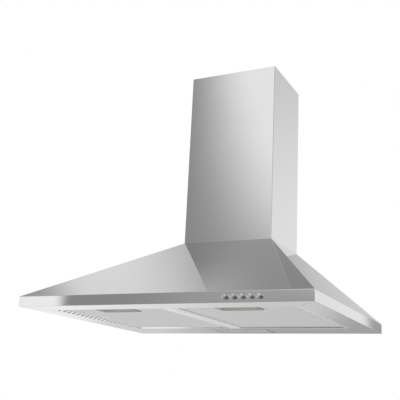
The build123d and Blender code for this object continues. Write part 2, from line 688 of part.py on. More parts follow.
# Switch housing: one block with a bore for each button's stem
with BuildPart() as switch_housing:
    with BuildSketch(Plane.XZ.offset(switch_rear)):
        with Locations((button_centre_x, level(switch_bottom + SWITCH_HEIGHT / 2))):
            Rectangle(switch_width, SWITCH_HEIGHT)
    extrude(amount=SWITCH_DEPTH)
    with BuildSketch(Plane.XZ.offset(switch_rear + SWITCH_WALL)):
        with Locations(*[(x, level(BUTTON_HEIGHT)) for x in button_xs]):
            Circle(BUTTON_STEM_RADIUS + BUTTON_GAP)
    extrude(amount=SWITCH_DEPTH - SWITCH_WALL, mode=Mode.SUBTRACT)
save(switch_housing, "switch_housing")


# Blower housing: a drum with an upright neck, split across the middle into two halves
scroll_rear = blower_depth - SCROLL_LENGTH / 2
scroll_front = blower_depth + SCROLL_LENGTH / 2
neck_height = NECK_TOP - BLOWER_HEIGHT
housing_screw_radius = SCROLL_RADIUS + JOINT_FLANGE / 2
housing_screw_places = [
    (housing_screw_radius * cos(radians(a)), level(BLOWER_HEIGHT) + housing_screw_radius * sin(radians(a)))
    for a in HOUSING_SCREW_ANGLES
]
neck_screw_x = (NECK_WIDTH + JOINT_FLANGE) / 2
neck_screw_z = level(NECK_TOP - HOUSING_NECK_SCREW_DROP)
housing_screw_places += [(-neck_screw_x, neck_screw_z), (neck_screw_x, neck_screw_z)]
small_screw_hole = SMALL_SCREW_RADIUS + SCREW_HOLE_GAP
collar_base_width = NECK_WIDTH + 2 * JOINT_FLANGE
collar_base_length = SCROLL_LENGTH + 2 * JOINT_FLANGE
collar_screw_x = collar_base_width / 2 - COLLAR_SCREW_MARGIN
collar_screw_y = collar_base_length / 2 - COLLAR_SCREW_MARGIN
collar_screw_places = [
    (side * collar_screw_x, -blower_depth + end * collar_screw_y) for side in (-1, 1) for end in (-1, 1)
]


def drum_outline(plane, offset):
    """The outline of the drum and its neck, grown by an offset."""
    with BuildSketch(plane) as outline:
        with Locations((0, level(BLOWER_HEIGHT))):
            Circle(SCROLL_RADIUS + offset)
        with Locations((0, level(BLOWER_HEIGHT + neck_height / 2))):
            Rectangle(NECK_WIDTH + 2 * offset, neck_height)
    return outline.sketch


def make_housing_half(name, outer_start, hollow_start, flange_start, middle_side):
    """One half of the blower housing, with its joint flange and its half of the neck's top flange."""
    half = SCROLL_LENGTH / 2
    with BuildPart() as housing:
        extrude(drum_outline(Plane.XZ.offset(outer_start), 0), amount=half)
        extrude(drum_outline(Plane.XZ.offset(flange_start), JOINT_FLANGE), amount=JOINT_FLANGE_SHEET)
        with BuildSketch(Plane.XY.offset(level(NECK_TOP - JOINT_FLANGE_SHEET))):
            with Locations((0, -blower_depth - middle_side * collar_base_length / 4)):
                Rectangle(collar_base_width, collar_base_length / 2)
        extrude(amount=JOINT_FLANGE_SHEET)
        hollow = drum_outline(Plane.XZ.offset(hollow_start), -SCROLL_WALL)
        extrude(hollow, amount=half - SCROLL_WALL, mode=Mode.SUBTRACT)
        with BuildSketch(Plane.XZ.offset(flange_start)):
            with Locations(*housing_screw_places):
                Circle(small_screw_hole)
        extrude(amount=JOINT_FLANGE_SHEET, mode=Mode.SUBTRACT)
        with BuildSketch(Plane.XY.offset(level(NECK_TOP - JOINT_FLANGE_SHEET))):
            with Locations(*collar_screw_places):
                Circle(small_screw_hole)
        extrude(amount=JOINT_FLANGE_SHEET, mode=Mode.SUBTRACT)
        if middle_side > 0:
            with BuildSketch(Plane.XZ.offset(scroll_front - SCROLL_WALL)):
                with Locations((0, level(BLOWER_HEIGHT))):
                    Circle(INLET_RADIUS)
            extrude(amount=SCROLL_WALL, mode=Mode.SUBTRACT)
    save(housing, name)


make_housing_half("blower_housing_front", blower_depth, blower_depth, blower_depth, 1)
make_housing_half(
    "blower_housing_rear", scroll_rear, scroll_rear + SCROLL_WALL, blower_depth - JOINT_FLANGE_SHEET, -1
)

# Inlet guard: rings and two cross bars over the inlet
with BuildPart() as inlet_guard:
    with BuildSketch(Plane.XZ.offset(scroll_front)):
        with Locations((0, level(BLOWER_HEIGHT))):
            Circle(INLET_RADIUS + GUARD_RIM)
            Circle(INLET_RADIUS, mode=Mode.SUBTRACT)
            for ring in reversed(range(1, GUARD_RINGS)):
                ring_radius = INLET_RADIUS * ring / GUARD_RINGS
                Circle(ring_radius + GUARD_WIRE / 2)
                Circle(ring_radius - GUARD_WIRE / 2, mode=Mode.SUBTRACT)
            Rectangle(2 * INLET_RADIUS + GUARD_WIRE, GUARD_WIRE)
            Rectangle(GUARD_WIRE, 2 * INLET_RADIUS + GUARD_WIRE)
    extrude(amount=GUARD_SHEET)
save(inlet_guard, "inlet_guard")

# Motor: a can with a running bore for the shaft, on rubber grommets on the rear wall
motor_wall = scroll_rear + SCROLL_WALL
motor_rear = motor_wall + GROMMET_THICKNESS
impeller_rear = motor_wall + IMPELLER_REAR_ROOM
impeller_front = impeller_rear + IMPELLER_LENGTH
dish_front = impeller_rear + IMPELLER_DISH
motor_front = dish_front - IMPELLER_SHEET - MOTOR_FACE_ROOM
shaft_rear = motor_rear + SHAFT_BLIND
shaft_front = dish_front + HUB_LENGTH
with BuildPart() as motor_body:
    with BuildSketch(Plane.XZ.offset(motor_rear)):
        with Locations((0, level(BLOWER_HEIGHT))):
            Circle(MOTOR_RADIUS)
    extrude(amount=motor_front - motor_rear)
    with BuildSketch(Plane.XZ.offset(shaft_rear - SHAFT_RUNNING)):
        with Locations((0, level(BLOWER_HEIGHT))):
            Circle(SHAFT_RADIUS + SHAFT_RUNNING)
    extrude(amount=motor_front - shaft_rear + SHAFT_RUNNING, mode=Mode.SUBTRACT)
save(motor_body, "motor_body")

with BuildPart() as motor_grommets:
    with BuildSketch(Plane.XZ.offset(motor_wall)):
        with Locations((0, level(BLOWER_HEIGHT))):
            with PolarLocations(GROMMET_CIRCLE_RADIUS, GROMMET_COUNT, start_angle=90):
                Circle(GROMMET_RADIUS)
                Circle(GROMMET_HOLE, mode=Mode.SUBTRACT)
    extrude(amount=GROMMET_THICKNESS)
save(motor_grommets, "motor_grommets")

with BuildPart() as motor_shaft:
    with BuildSketch(Plane.XZ.offset(shaft_rear)):
        with Locations((0, level(BLOWER_HEIGHT))):
            Circle(SHAFT_RADIUS)
    extrude(amount=shaft_front - shaft_rear)
save(motor_shaft, "motor_shaft")

# Impeller: a rear ring, a dish over the motor with a hub, a front ring and blades between the rings
blade_inner = IMPELLER_RADIUS - IMPELLER_BLADE
with BuildPart() as impeller:
    with BuildSketch(Plane.XZ.offset(impeller_rear)):
        with Locations((0, level(BLOWER_HEIGHT))):
            Circle(IMPELLER_RADIUS)
            Circle(IMPELLER_DISH_RADIUS - IMPELLER_SHEET, mode=Mode.SUBTRACT)
    extrude(amount=IMPELLER_SHEET)
    with BuildSketch(Plane.XZ.offset(impeller_rear)):
        with Locations((0, level(BLOWER_HEIGHT))):
            Circle(IMPELLER_DISH_RADIUS)
            Circle(IMPELLER_DISH_RADIUS - IMPELLER_SHEET, mode=Mode.SUBTRACT)
    extrude(amount=IMPELLER_DISH)
    with BuildSketch(Plane.XZ.offset(dish_front - IMPELLER_SHEET)):
        with Locations((0, level(BLOWER_HEIGHT))):
            Circle(IMPELLER_DISH_RADIUS)
    extrude(amount=IMPELLER_SHEET)
    with BuildSketch(Plane.XZ.offset(dish_front)):
        with Locations((0, level(BLOWER_HEIGHT))):
            Circle(HUB_RADIUS)
    extrude(amount=HUB_LENGTH)
    with BuildSketch(Plane.XZ.offset(dish_front - IMPELLER_SHEET)):
        with Locations((0, level(BLOWER_HEIGHT))):
            Circle(SHAFT_RADIUS)
    extrude(amount=HUB_LENGTH + IMPELLER_SHEET, mode=Mode.SUBTRACT)
    with BuildSketch(Plane.XZ.offset(impeller_front - IMPELLER_SHEET)):
        with Locations((0, level(BLOWER_HEIGHT))):
            Circle(IMPELLER_RADIUS)
            Circle(blade_inner, mode=Mode.SUBTRACT)
    extrude(amount=IMPELLER_SHEET)
    with BuildSketch(Plane.XZ.offset(impeller_rear)):
        with Locations((0, level(BLOWER_HEIGHT))):
            with PolarLocations(IMPELLER_RADIUS - IMPELLER_BLADE / 2, IMPELLER_BLADES):
                Rectangle(IMPELLER_BLADE - IMPELLER_SHEET, IMPELLER_SHEET)
    extrude(amount=IMPELLER_LENGTH)
save(impeller, "impeller")

# Blower bracket: a hat-shaped channel between the rear panel and the blower
hat_half = BLOWER_BRACKET_WIDTH / 2
hat_outer = hat_half + BLOWER_BRACKET_FOOT
with BuildPart() as blower_bracket:
    with BuildSketch(Plane.XY.offset(level(BLOWER_BRACKET_BOTTOM))):
        with Locations((0, -(scroll_rear + PANEL_SHEET) / 2)):
            Rectangle(BLOWER_BRACKET_WIDTH, scroll_rear - PANEL_SHEET)
        with Locations((0, -PANEL_SHEET - BLOWER_BRACKET_SHEET / 2)):
            Rectangle(2 * hat_outer, BLOWER_BRACKET_SHEET)
        with Locations((0, -(scroll_rear - BLOWER_BRACKET_SHEET + PANEL_SHEET) / 2)):
            Rectangle(
                BLOWER_BRACKET_WIDTH - 2 * BLOWER_BRACKET_SHEET,
                scroll_rear - BLOWER_BRACKET_SHEET - PANEL_SHEET,
                mode=Mode.SUBTRACT,
            )
    extrude(amount=BLOWER_BRACKET_TOP - BLOWER_BRACKET_BOTTOM)
    with BuildSketch(Plane.XZ.offset(PANEL_SHEET)):
        with Locations(*bracket_screw_places):
            Circle(screw_hole)
    extrude(amount=BLOWER_BRACKET_SHEET, mode=Mode.SUBTRACT)
save(blower_bracket, "blower_bracket")

# Motor capacitor: a can on the rear panel
with BuildPart() as capacitor:
    with BuildSketch(Plane.XY.offset(level(CAPACITOR_BOTTOM))):
        with Locations((CAPACITOR_X, -PANEL_SHEET - SEAT_GAP - CAPACITOR_RADIUS)):
            Circle(CAPACITOR_RADIUS)
    extrude(amount=CAPACITOR_LENGTH)
save(capacitor, "capacitor")

# Duct collar: a round spigot on a square base, with a ledge that the damper flaps close on
collar_bottom = NECK_TOP + COLLAR_BASE
collar_inner = COLLAR_RADIUS - COLLAR_WALL
damper_height = collar_bottom + DAMPER_LIFT
with BuildPart() as duct_collar:
    with BuildSketch(Plane.XY.offset(level(NECK_TOP))):
        with Locations((0, -blower_depth)):
            Rectangle(collar_base_width, collar_base_length)
            Circle(collar_inner, mode=Mode.SUBTRACT)
        with Locations(*collar_screw_places):
            Circle(small_screw_hole, mode=Mode.SUBTRACT)
    extrude(amount=COLLAR_BASE)
    with BuildSketch(Plane.XY.offset(level(collar_bottom))):
        with Locations((0, -blower_depth)):
            Circle(COLLAR_RADIUS)
            Circle(collar_inner, mode=Mode.SUBTRACT)
    extrude(amount=COLLAR_HEIGHT)
    ledge_top = damper_height - DAMPER_SHEET / 2 - SEAT_GAP
    with BuildSketch(Plane.XY.offset(level(ledge_top - COLLAR_LEDGE_HEIGHT))):
        with Locations((0, -blower_depth)):
            Circle(collar_inner)
            Circle(collar_inner - COLLAR_LEDGE, mode=Mode.SUBTRACT)
    extrude(amount=COLLAR_LEDGE_HEIGHT)
    with BuildSketch(Plane.XZ.offset(blower_depth - COLLAR_RADIUS)):
        with Locations((0, level(damper_height))):
            Circle(DAMPER_PIN_RADIUS)
    extrude(amount=2 * COLLAR_RADIUS, mode=Mode.SUBTRACT)
save(duct_collar, "duct_collar")

with BuildPart() as damper_pin:
    with BuildSketch(Plane.XZ.offset(blower_depth - COLLAR_RADIUS)):
        with Locations((0, level(damper_height))):
            Circle(DAMPER_PIN_RADIUS)
    extrude(amount=2 * COLLAR_RADIUS)
save(damper_pin, "damper_pin")

# Damper flaps: two half discs whose knuckles take turns along the pin
flap_radius = collar_inner - DAMPER_REACH_GAP
flap_edge = DAMPER_KNUCKLE_RADIUS + DAMPER_GAP
knuckle_span = 2 * (collar_inner - COLLAR_LEDGE - DAMPER_KNUCKLE_RADIUS)
knuckle_pitch = knuckle_span / DAMPER_KNUCKLES
for side, name, first in ((-1, "left", 0), (1, "right", 1)):
    with BuildPart() as flap:
        with BuildSketch(Plane.XY.offset(level(damper_height) - DAMPER_SHEET / 2)):
            with Locations((0, -blower_depth)):
                Circle(flap_radius)
            with Locations((-side * (flap_radius / 2 - flap_edge), -blower_depth)):
                Rectangle(flap_radius, 2 * flap_radius, mode=Mode.SUBTRACT)
            with Locations((-side * flap_radius, -blower_depth)):
                Rectangle(flap_radius, 2 * flap_radius, mode=Mode.SUBTRACT)
        extrude(amount=DAMPER_SHEET)
        for index in range(first, DAMPER_KNUCKLES, 2):
            knuckle_start = blower_depth - knuckle_span / 2 + index * knuckle_pitch + DAMPER_GAP / 2
            with BuildSketch(Plane.XZ.offset(knuckle_start)):
                with Locations((0, level(damper_height))):
                    Circle(DAMPER_KNUCKLE_RADIUS)
                with Locations((side * flap_edge / 2, level(damper_height))):
                    Rectangle(flap_edge, DAMPER_SHEET)
            extrude(amount=knuckle_pitch - DAMPER_GAP)
        with BuildSketch(Plane.XZ.offset(blower_depth - COLLAR_RADIUS)):
            with Locations((0, level(damper_height))):
                Circle(DAMPER_PIN_RADIUS + DAMPER_PIN_GAP)
        extrude(amount=2 * COLLAR_RADIUS, mode=Mode.SUBTRACT)
    save(flap, f"damper_flap_{name}")


# Terminal box on the rear rail, with its cover, block and the grommet for a mains cable
terminal_bottom = SHEET
terminal_top = terminal_bottom + TERMINAL_HEIGHT
lead_exit_x = TERMINAL_X - LEAD_REACH
with BuildPart() as terminal_box:
    with BuildSketch(Plane.XY.offset(level(terminal_bottom))):
        with Locations((TERMINAL_X, -TERMINAL_DEPTH)):
            Rectangle(TERMINAL_WIDTH, TERMINAL_LENGTH)
    extrude(amount=TERMINAL_HEIGHT)
    with BuildSketch(Plane.XY.offset(level(terminal_bottom + TERMINAL_WALL))):
        with Locations((TERMINAL_X, -TERMINAL_DEPTH)):
            Rectangle(TERMINAL_WIDTH - 2 * TERMINAL_WALL, TERMINAL_LENGTH - 2 * TERMINAL_WALL)
    extrude(amount=TERMINAL_HEIGHT, mode=Mode.SUBTRACT)
save(terminal_box, "terminal_box")

with BuildPart() as terminal_box_cover:
    with BuildSketch(Plane.XY.offset(level(terminal_top))):
        with Locations((TERMINAL_X, -TERMINAL_DEPTH)):
            Rectangle(TERMINAL_WIDTH, TERMINAL_LENGTH)
        with Locations((TERMINAL_X + LEAD_REACH, -TERMINAL_DEPTH)):
            Circle(GROMMET_BARREL, mode=Mode.SUBTRACT)
    extrude(amount=TERMINAL_WALL)
save(terminal_box_cover, "terminal_box_cover")

with BuildPart() as terminal_block:
    with BuildSketch(Plane.XY.offset(level(terminal_bottom + TERMINAL_WALL))):
        with Locations((TERMINAL_X, -TERMINAL_DEPTH)):
            Rectangle(BLOCK_WIDTH, BLOCK_LENGTH)
            with GridLocations(BLOCK_WIDTH / BLOCK_POLES, 0, BLOCK_POLES, 1):
                Circle(BLOCK_HOLE_RADIUS, mode=Mode.SUBTRACT)
    extrude(amount=BLOCK_HEIGHT)
save(terminal_block, "terminal_block")

with BuildPart() as cable_grommet:
    with BuildSketch(Plane.XY.offset(level(terminal_top))):
        with Locations((TERMINAL_X + LEAD_REACH, -TERMINAL_DEPTH)):
            Circle(GROMMET_BARREL)
            Circle(GROMMET_BORE, mode=Mode.SUBTRACT)
    extrude(amount=TERMINAL_WALL)
    with BuildSketch(Plane.XY.offset(level(terminal_top + TERMINAL_WALL))):
        with Locations((TERMINAL_X + LEAD_REACH, -TERMINAL_DEPTH)):
            Circle(GROMMET_BARREL + GROMMET_LIP)
            Circle(GROMMET_BORE, mode=Mode.SUBTRACT)
    extrude(amount=GROMMET_LIP_THICKNESS)
save(cable_grommet, "cable_grommet")


def make_lead(name, points, radius, bend):
    """A round lead along straight runs joined by bends."""
    with BuildPart() as lead:
        with BuildLine() as route:
            if len(points) > 2:
                FilletPolyline(*points, radius=bend)
            else:
                Line(*points)
        with BuildSketch(Plane(origin=route.line @ 0, z_dir=route.line % 0)):
            Circle(radius)
        sweep()
    save(lead, name)


# Wiring: the switch harness along the right flange, and the lamp's and motor's leads
harness_x = (aperture_width + SIDE_FLANGE) / 2
harness_y = -(switch_front + switch_rear) / 2
harness_z = level(HARNESS_HEIGHT)
make_lead(
    "switch_harness",
    [
        (button_centre_x + switch_width / 2, harness_y, harness_z),
        (harness_x, harness_y, harness_z),
        (harness_x, -TERMINAL_DEPTH, harness_z),
        (TERMINAL_X + TERMINAL_WIDTH / 2, -TERMINAL_DEPTH, harness_z),
    ],
    HARNESS_RADIUS,
    HARNESS_BEND,
)
make_lead(
    "lamp_lead",
    [
        (lamp_inner_width / 2 + SHEET, -TERMINAL_DEPTH, level(LEAD_HEIGHT)),
        (TERMINAL_X - TERMINAL_WIDTH / 2, -TERMINAL_DEPTH, level(LEAD_HEIGHT)),
    ],
    LEAD_RADIUS,
    LEAD_BEND,
)
make_lead(
    "motor_lead",
    [
        (lead_exit_x, -LEAD_WALL_DEPTH, level(terminal_top + TERMINAL_WALL)),
        (lead_exit_x, -LEAD_WALL_DEPTH, level(LEAD_TURN_HEIGHT)),
        (SCROLL_RADIUS + SEAT_GAP, -LEAD_WALL_DEPTH, level(LEAD_TURN_HEIGHT)),
    ],
    LEAD_RADIUS,
    LEAD_BEND,
)

with BuildPart() as harness_clips:
    clip_height = HARNESS_HEIGHT + HARNESS_RADIUS + CLIP_ROOF - SHEET
    clip_middle = (RAIL_DEPTH + aperture_front) / 2
    with BuildSketch(Plane.XY.offset(level(SHEET))):
        with Locations((harness_x, -clip_middle)):
            with GridLocations(0, CLIP_PITCH, 1, CLIP_COUNT):
                Rectangle(CLIP_WIDTH, CLIP_LENGTH)
    extrude(amount=clip_height)
    with BuildSketch(Plane.XZ):
        with Locations((harness_x, harness_z)):
            Circle(HARNESS_RADIUS + SEAT_GAP)
    extrude(amount=HOOD_DEPTH, mode=Mode.SUBTRACT)
save(harness_clips, "harness_clips")


def make_screws(name, plane, places, grip, radius, head_radius, head):
    """A group of like screws: heads stand on the plane, shanks go a grip's length below it."""
    with BuildPart() as screws:
        with BuildSketch(plane):
            with Locations(*places):
                Circle(head_radius)
        extrude(amount=head)
        with BuildSketch(plane):
            with Locations(*places):
                Circle(radius)
        extrude(amount=-grip)
    save(screws, name)


# Fasteners
make_screws(
    "rail_screws",
    Plane.XZ.offset(PANEL_SHEET + SHEET),
    rail_screw_places,
    PANEL_SHEET + SHEET - SEAT_GAP,
    SCREW_RADIUS,
    SCREW_HEAD_RADIUS,
    SCREW_HEAD,
)
make_screws(
    "bracket_screws",
    Plane.XZ.offset(PANEL_SHEET + BLOWER_BRACKET_SHEET),
    bracket_screw_places,
    PANEL_SHEET + BLOWER_BRACKET_SHEET - SEAT_GAP,
    SCREW_RADIUS,
    SCREW_HEAD_RADIUS,
    SCREW_HEAD,
)
make_screws(
    "chimney_screws",
    Plane.XY.offset(level(CANOPY_HEIGHT + SHEET)),
    [(-chimney_screw_x, -CHIMNEY_SCREW_DEPTH), (chimney_screw_x, -CHIMNEY_SCREW_DEPTH)],
    3 * SHEET,
    SCREW_RADIUS,
    SCREW_HEAD_RADIUS,
    SCREW_HEAD,
)
make_screws(
    "housing_screws",
    Plane.XZ.offset(blower_depth + JOINT_FLANGE_SHEET),
    housing_screw_places,
    2 * JOINT_FLANGE_SHEET,
    SMALL_SCREW_RADIUS,
    SMALL_SCREW_HEAD_RADIUS,
    SMALL_SCREW_HEAD,
)
make_screws(
    "collar_screws",
    Plane.XY.offset(level(collar_bottom)),
    collar_screw_places,
    COLLAR_BASE + JOINT_FLANGE_SHEET,
    SMALL_SCREW_RADIUS,
    SMALL_SCREW_HEAD_RADIUS,
    SMALL_SCREW_HEAD,
)
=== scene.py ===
import json
from math import pi, radians

import bmesh
import bpy
from bmesh.types import BMEdge, BMVert
from mathutils import Matrix, Vector


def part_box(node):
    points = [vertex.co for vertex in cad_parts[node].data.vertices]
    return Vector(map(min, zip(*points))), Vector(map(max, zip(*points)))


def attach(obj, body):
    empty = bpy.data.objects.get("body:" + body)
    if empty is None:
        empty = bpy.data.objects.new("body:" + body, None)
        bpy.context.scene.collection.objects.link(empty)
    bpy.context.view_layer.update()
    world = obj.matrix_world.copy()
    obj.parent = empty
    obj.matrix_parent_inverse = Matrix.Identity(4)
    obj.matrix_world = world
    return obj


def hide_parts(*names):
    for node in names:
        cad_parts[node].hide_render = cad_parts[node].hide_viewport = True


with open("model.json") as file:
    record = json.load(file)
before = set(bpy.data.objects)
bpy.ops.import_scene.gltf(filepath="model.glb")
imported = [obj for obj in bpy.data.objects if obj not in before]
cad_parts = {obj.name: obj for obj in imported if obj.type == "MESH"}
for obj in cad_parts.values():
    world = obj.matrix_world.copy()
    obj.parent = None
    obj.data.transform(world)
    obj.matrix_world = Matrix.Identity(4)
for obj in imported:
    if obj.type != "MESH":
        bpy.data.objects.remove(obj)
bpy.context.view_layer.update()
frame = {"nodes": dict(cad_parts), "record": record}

SIDES = ("left", "right")
BUTTONS = range(1, 6)

# Sizes are in metres, in the frame of the solids: the wall is y = 0 and the front faces -y.
# Canopy with its bottom flanges, front band, slopes and top flange
UNDERSIDE = -0.120
HOOD_HALF_WIDTH = 0.299
HOOD_DEPTH = 0.480
BAND_TOP = UNDERSIDE + 0.020
BAND_MARGIN = 0.0010
CANOPY_TOP = UNDERSIDE + 0.184
SIDE_FLANGE = 0.042
FRONT_FLANGE = 0.055
FLANGE_LIP = 0.006
TOP_FLANGE = 0.012
SHEET = 0.001
FOLD_RADIUS = 0.0004
SEAM_CUTS = 9
SEAM_HALF_WIDTH = 0.0003
SEAM_DEPTH = 0.0004

# Flue covers
FLUE_HALF_WIDTH = 0.105
FLUE_DEPTH = 0.170
FLUE_FOLD_RADIUS = 0.0020
COVER_RETURN = 0.020
COVER_FOOT = 0.012
EXTENSION_RETURN = 0.015

# Filter frames; the slope's least area is in square metres
FILTER_REAR = 0.0995
FILTER_SHEET = 0.0007
FILTER_TOP_RETURN = 0.0050
FLAT_RIM = {"left": 0.0095, "right": 0.0078}
BORDER_RISE = {"left": 0.0036, "right": 0.0024}
NARROW_RIM = 0.0010
RIM_LIP = 0.0011
SIDE_SLOPE = 0.0120
SLOPE_LEAST_AREA = 0.00025
SLOT_PITCH = 0.0160
SLOT_MARGIN = 0.0003
SLOT_DEPTH = 0.0005
PLEAT_FOOT = 0.0008
PLEAT_TOP = 0.0034
PLEAT_PITCH = 0.0060
PLEAT_DEPTH = 0.00044
PLEAT_SKEW = 0.37
PLEAT_LEAN = 0.0003
TAB_HALF_SPACING = 0.075
TAB_WIDTH = 0.024
TAB_LENGTH = 0.010
TAB_THICKNESS = 0.0012
TAB_LIFT = 0.0004

# Waved mesh of the filters, and the width and length of its diamond holes
FACE_LEVEL = UNDERSIDE + 0.0030
WAVE_PITCH = 0.006
WAVE_HEIGHT = 0.0006
DIAMOND_WIDTH = 0.0032
DIAMOND_LENGTH = 0.0018

# Finger cups, and the room that a latch's tongue needs
CUP_HALF_WIDTH = 0.0408
CUP_REAR = 0.370
CUP_FRONT = 0.405
CUP_MOUTH = UNDERSIDE + 0.002
CUP_CEILING = UNDERSIDE + 0.016
CUP_BEZEL = 0.0015
CUP_SKIRT = 0.0028
CUP_CORNER = 0.0010
CUP_WALL = 0.0012
LATCH_PLAY = 0.0004
LATCH_TONGUE = 0.0018

# Push buttons: radii, where the collar behind the band starts and ends, and the holes in the band
BUTTON_LEVEL = UNDERSIDE + 0.010
BUTTON_STEPS = 40
BUTTON_STEM = 0.0025
BUTTON_COLLAR = 0.0052
BUTTON_CAP = 0.0040
COLLAR_BACK = 0.0023 - HOOD_DEPTH
COLLAR_FRONT = 0.0013 - HOOD_DEPTH
BUTTON_HOLE = 0.0043
HOLE_CELL = 0.0065
# Radius and depth along a button's face, from its rounded rim across the ring's groove to its middle
BUTTON_FACE = (
    (BUTTON_CAP, 0.0006),
    (0.0038, 0.0002),
    (0.0034, 0.0),
    (0.0026, 0.0),
    (0.0025, 0.0002),
    (0.0021, 0.0002),
    (0.0020, 0.0),
    (0.0, 0.0),
)

# Lamp diffuser
LENS_EDGE = 0.0008
# Width of the strip at the diffuser's end that is painted dark as shade
LENS_SHADED_END = 0.0040
LENS_RIB = 0.003

# Studio and camera; a level of 1 is white, and angles are in degrees
FLOOR_LEVEL = -1.25
FLOOR_RADIUS = 2.6
FLOOR_STEPS = 96
FLOOR_FADE = (FLOOR_RADIUS * 0.5, FLOOR_RADIUS * 0.98)
FLOOR_GLOW = 0.28
STUDIO_WHITE = 1.03
STUDIO_LEAST = 0.32
FRONT_LEVEL = 0.38
WINDOW_LEVEL = 0.86
WINDOW_SIDE = 29.15
UNDER_LEVEL = 0.43
SLOPE_LEVEL = 0.46
FRONT_RIGHT_EDGE = (-65, -45)
FRONT_LEFT_EDGE = (36.65, 37.25)
BACK_RIGHT_EDGE = (-13.5, -12.9)
CAMERA_PLACE = (0.65043, -1.60447, -0.29247)
CAMERA_TURN = (105.886, -2.756, 25.905)
CAMERA_LENS = 65.71
CAMERA_SENSOR = 36

# Angles between faces, in radians, past which an edge counts as a fold of that kind
ANY_FOLD = 0.1
CREASE = 0.55
STEEP_FOLD = 1.0
SQUARE_FOLD = 1.5

# Share of a face's normal along a direction: more than this if it looks there, less if it stands across it
SQUARELY = 0.9
ACROSS = 0.5
NEARLY_ACROSS = 0.2
LEANING = 0.1
FRONTWARD = Vector((0, -1, 0))
REARWARD = Vector((0, 1, 0))
UPWARD = Vector((0, 0, 1))
DOWNWARD = Vector((0, 0, -1))
SAME_PLACE = 1e-7

# Places of the pleats' finish and of the slots' painted shade in a rim's list of materials
PLEAT_FINISH = 1
SLOT_PAINTED_SHADE = 2


class Value:
    """A socket that takes part in Python expressions, each of which adds its Math nodes."""

    def __init__(self, nodes, socket):
        self.nodes = nodes
        self.socket = socket

    def math(self, operation, *others):
        """A Math node's result for this value and others."""
        return self.nodes.add("ShaderNodeMath", {"operation": operation}, dict(enumerate((self, *others))))

    def __add__(self, other):
        return self.math("ADD", other)

    __radd__ = __add__

    def __sub__(self, other):
        return self.math("SUBTRACT", other)

    def __rsub__(self, other):
        return self.nodes.add("ShaderNodeMath", {"operation": "SUBTRACT"}, {0: other, 1: self})

    def __mul__(self, other):
        return self.math("MULTIPLY", other)

    __rmul__ = __mul__

    def __abs__(self):
        return self.math("ABSOLUTE")

    def step(self, start, end):
        """0 below start and 1 above end, with a smooth rise between them."""
        return self.nodes.add(
            "ShaderNodeMapRange",
            {"interpolation_type": "SMOOTHSTEP"},
            {"Value": self, "From Min": start, "From Max": end},
        )


class Nodes:
    """A material's or the world's node tree."""

    def __init__(self, owner):
        owner.use_nodes = True
        self.tree = owner.node_tree
        self.tree.nodes.clear()

    def add(self, kind, settings, inputs, output=0):
        """Add a node, set it and then its sockets, and return one of its outputs."""
        node = self.tree.nodes.new(kind)
        for key, setting in settings.items():
            setattr(node, key, setting)
        for key, value in inputs.items():
            if isinstance(value, Value):
                self.tree.links.new(value.socket, node.inputs[key])
            else:
                node.inputs[key].default_value = value
        return Value(self, node.outputs[output]) if len(node.outputs) else None

    def place(self):
        """Where a point lies on its object."""
        return self.add("ShaderNodeTexCoord", {}, {}, "Object")

    def sight(self):
        """1 where the camera itself looks, 0 in reflections and in the light that surfaces get."""
        return self.add("ShaderNodeLightPath", {}, {}, "Is Camera Ray")

    def parts(self, vector):
        """The x, y and z of a vector."""
        separate = self.add("ShaderNodeSeparateXYZ", {}, {"Vector": vector})
        return [Value(self, output) for output in separate.socket.node.outputs]

    def blend(self, factor, first, second):
        """A colour between two colours."""
        return self.add("ShaderNodeMix", {"data_type": "RGBA"}, {"Factor": factor, 6: first, 7: second}, 2)

    def noise(self, place, stretch, detail=3.0):
        """Noise on stretched coordinates, from 0 to 1."""
        stretched = self.add("ShaderNodeMapping", {}, {"Vector": place, "Scale": stretch})
        return self.add("ShaderNodeTexNoise", {}, {"Vector": stretched, "Scale": 1.0, "Detail": detail}, "Fac")

    def cloud(self, place, scale, detail=3.0):
        """Noise that is the same in all directions."""
        return self.noise(place, (scale, scale, scale), detail)

    def bump(self, height, strength, depth):
        """A normal that rises and falls with a height."""
        return self.add("ShaderNodeBump", {}, {"Strength": strength, "Distance": depth, "Height": height})

    def close(self, sockets):
        """Finish a material with its shader and output."""
        shader = self.add("ShaderNodeBsdfPrincipled", {}, sockets)
        self.add("ShaderNodeOutputMaterial", {}, {"Surface": shader})


def grey(level, warmth=0.0):
    """A grey colour, a little warmer or cooler."""
    return (level * (1 + warmth), level, level * (1 - warmth), 1.0)


def make_brushed_steel(name, dark, light):
    """Steel sheet brushed level: fine streaks along each face, sharp reflections across them."""
    material = bpy.data.materials.new(name)
    nodes = Nodes(material)
    place = nodes.place()
    normal = nodes.add("ShaderNodeNewGeometry", {}, {}, "Normal")
    lying = abs(nodes.parts(normal)[2]).step(0.9, 0.99)
    along, across = 9, 2600
    upright_streaks = nodes.noise(place, (along, along, across))
    lying_streaks = nodes.noise(place, (along, across, along))
    streaks = upright_streaks * (1 - lying) + lying_streaks * lying
    cloud = nodes.cloud(place, 7)
    nodes.close(
        {
            "Base Color": nodes.blend(streaks * 0.6 + cloud * 0.4, dark, light),
            "Metallic": 1.0,
            "Roughness": 0.02 + 0.015 * streaks + 0.01 * cloud,
            "Anisotropic": 0.95,
            "Anisotropic Rotation": 0.25,
            "Normal": nodes.bump(streaks, strength=0.05, depth=0.0001),
        }
    )
    return material


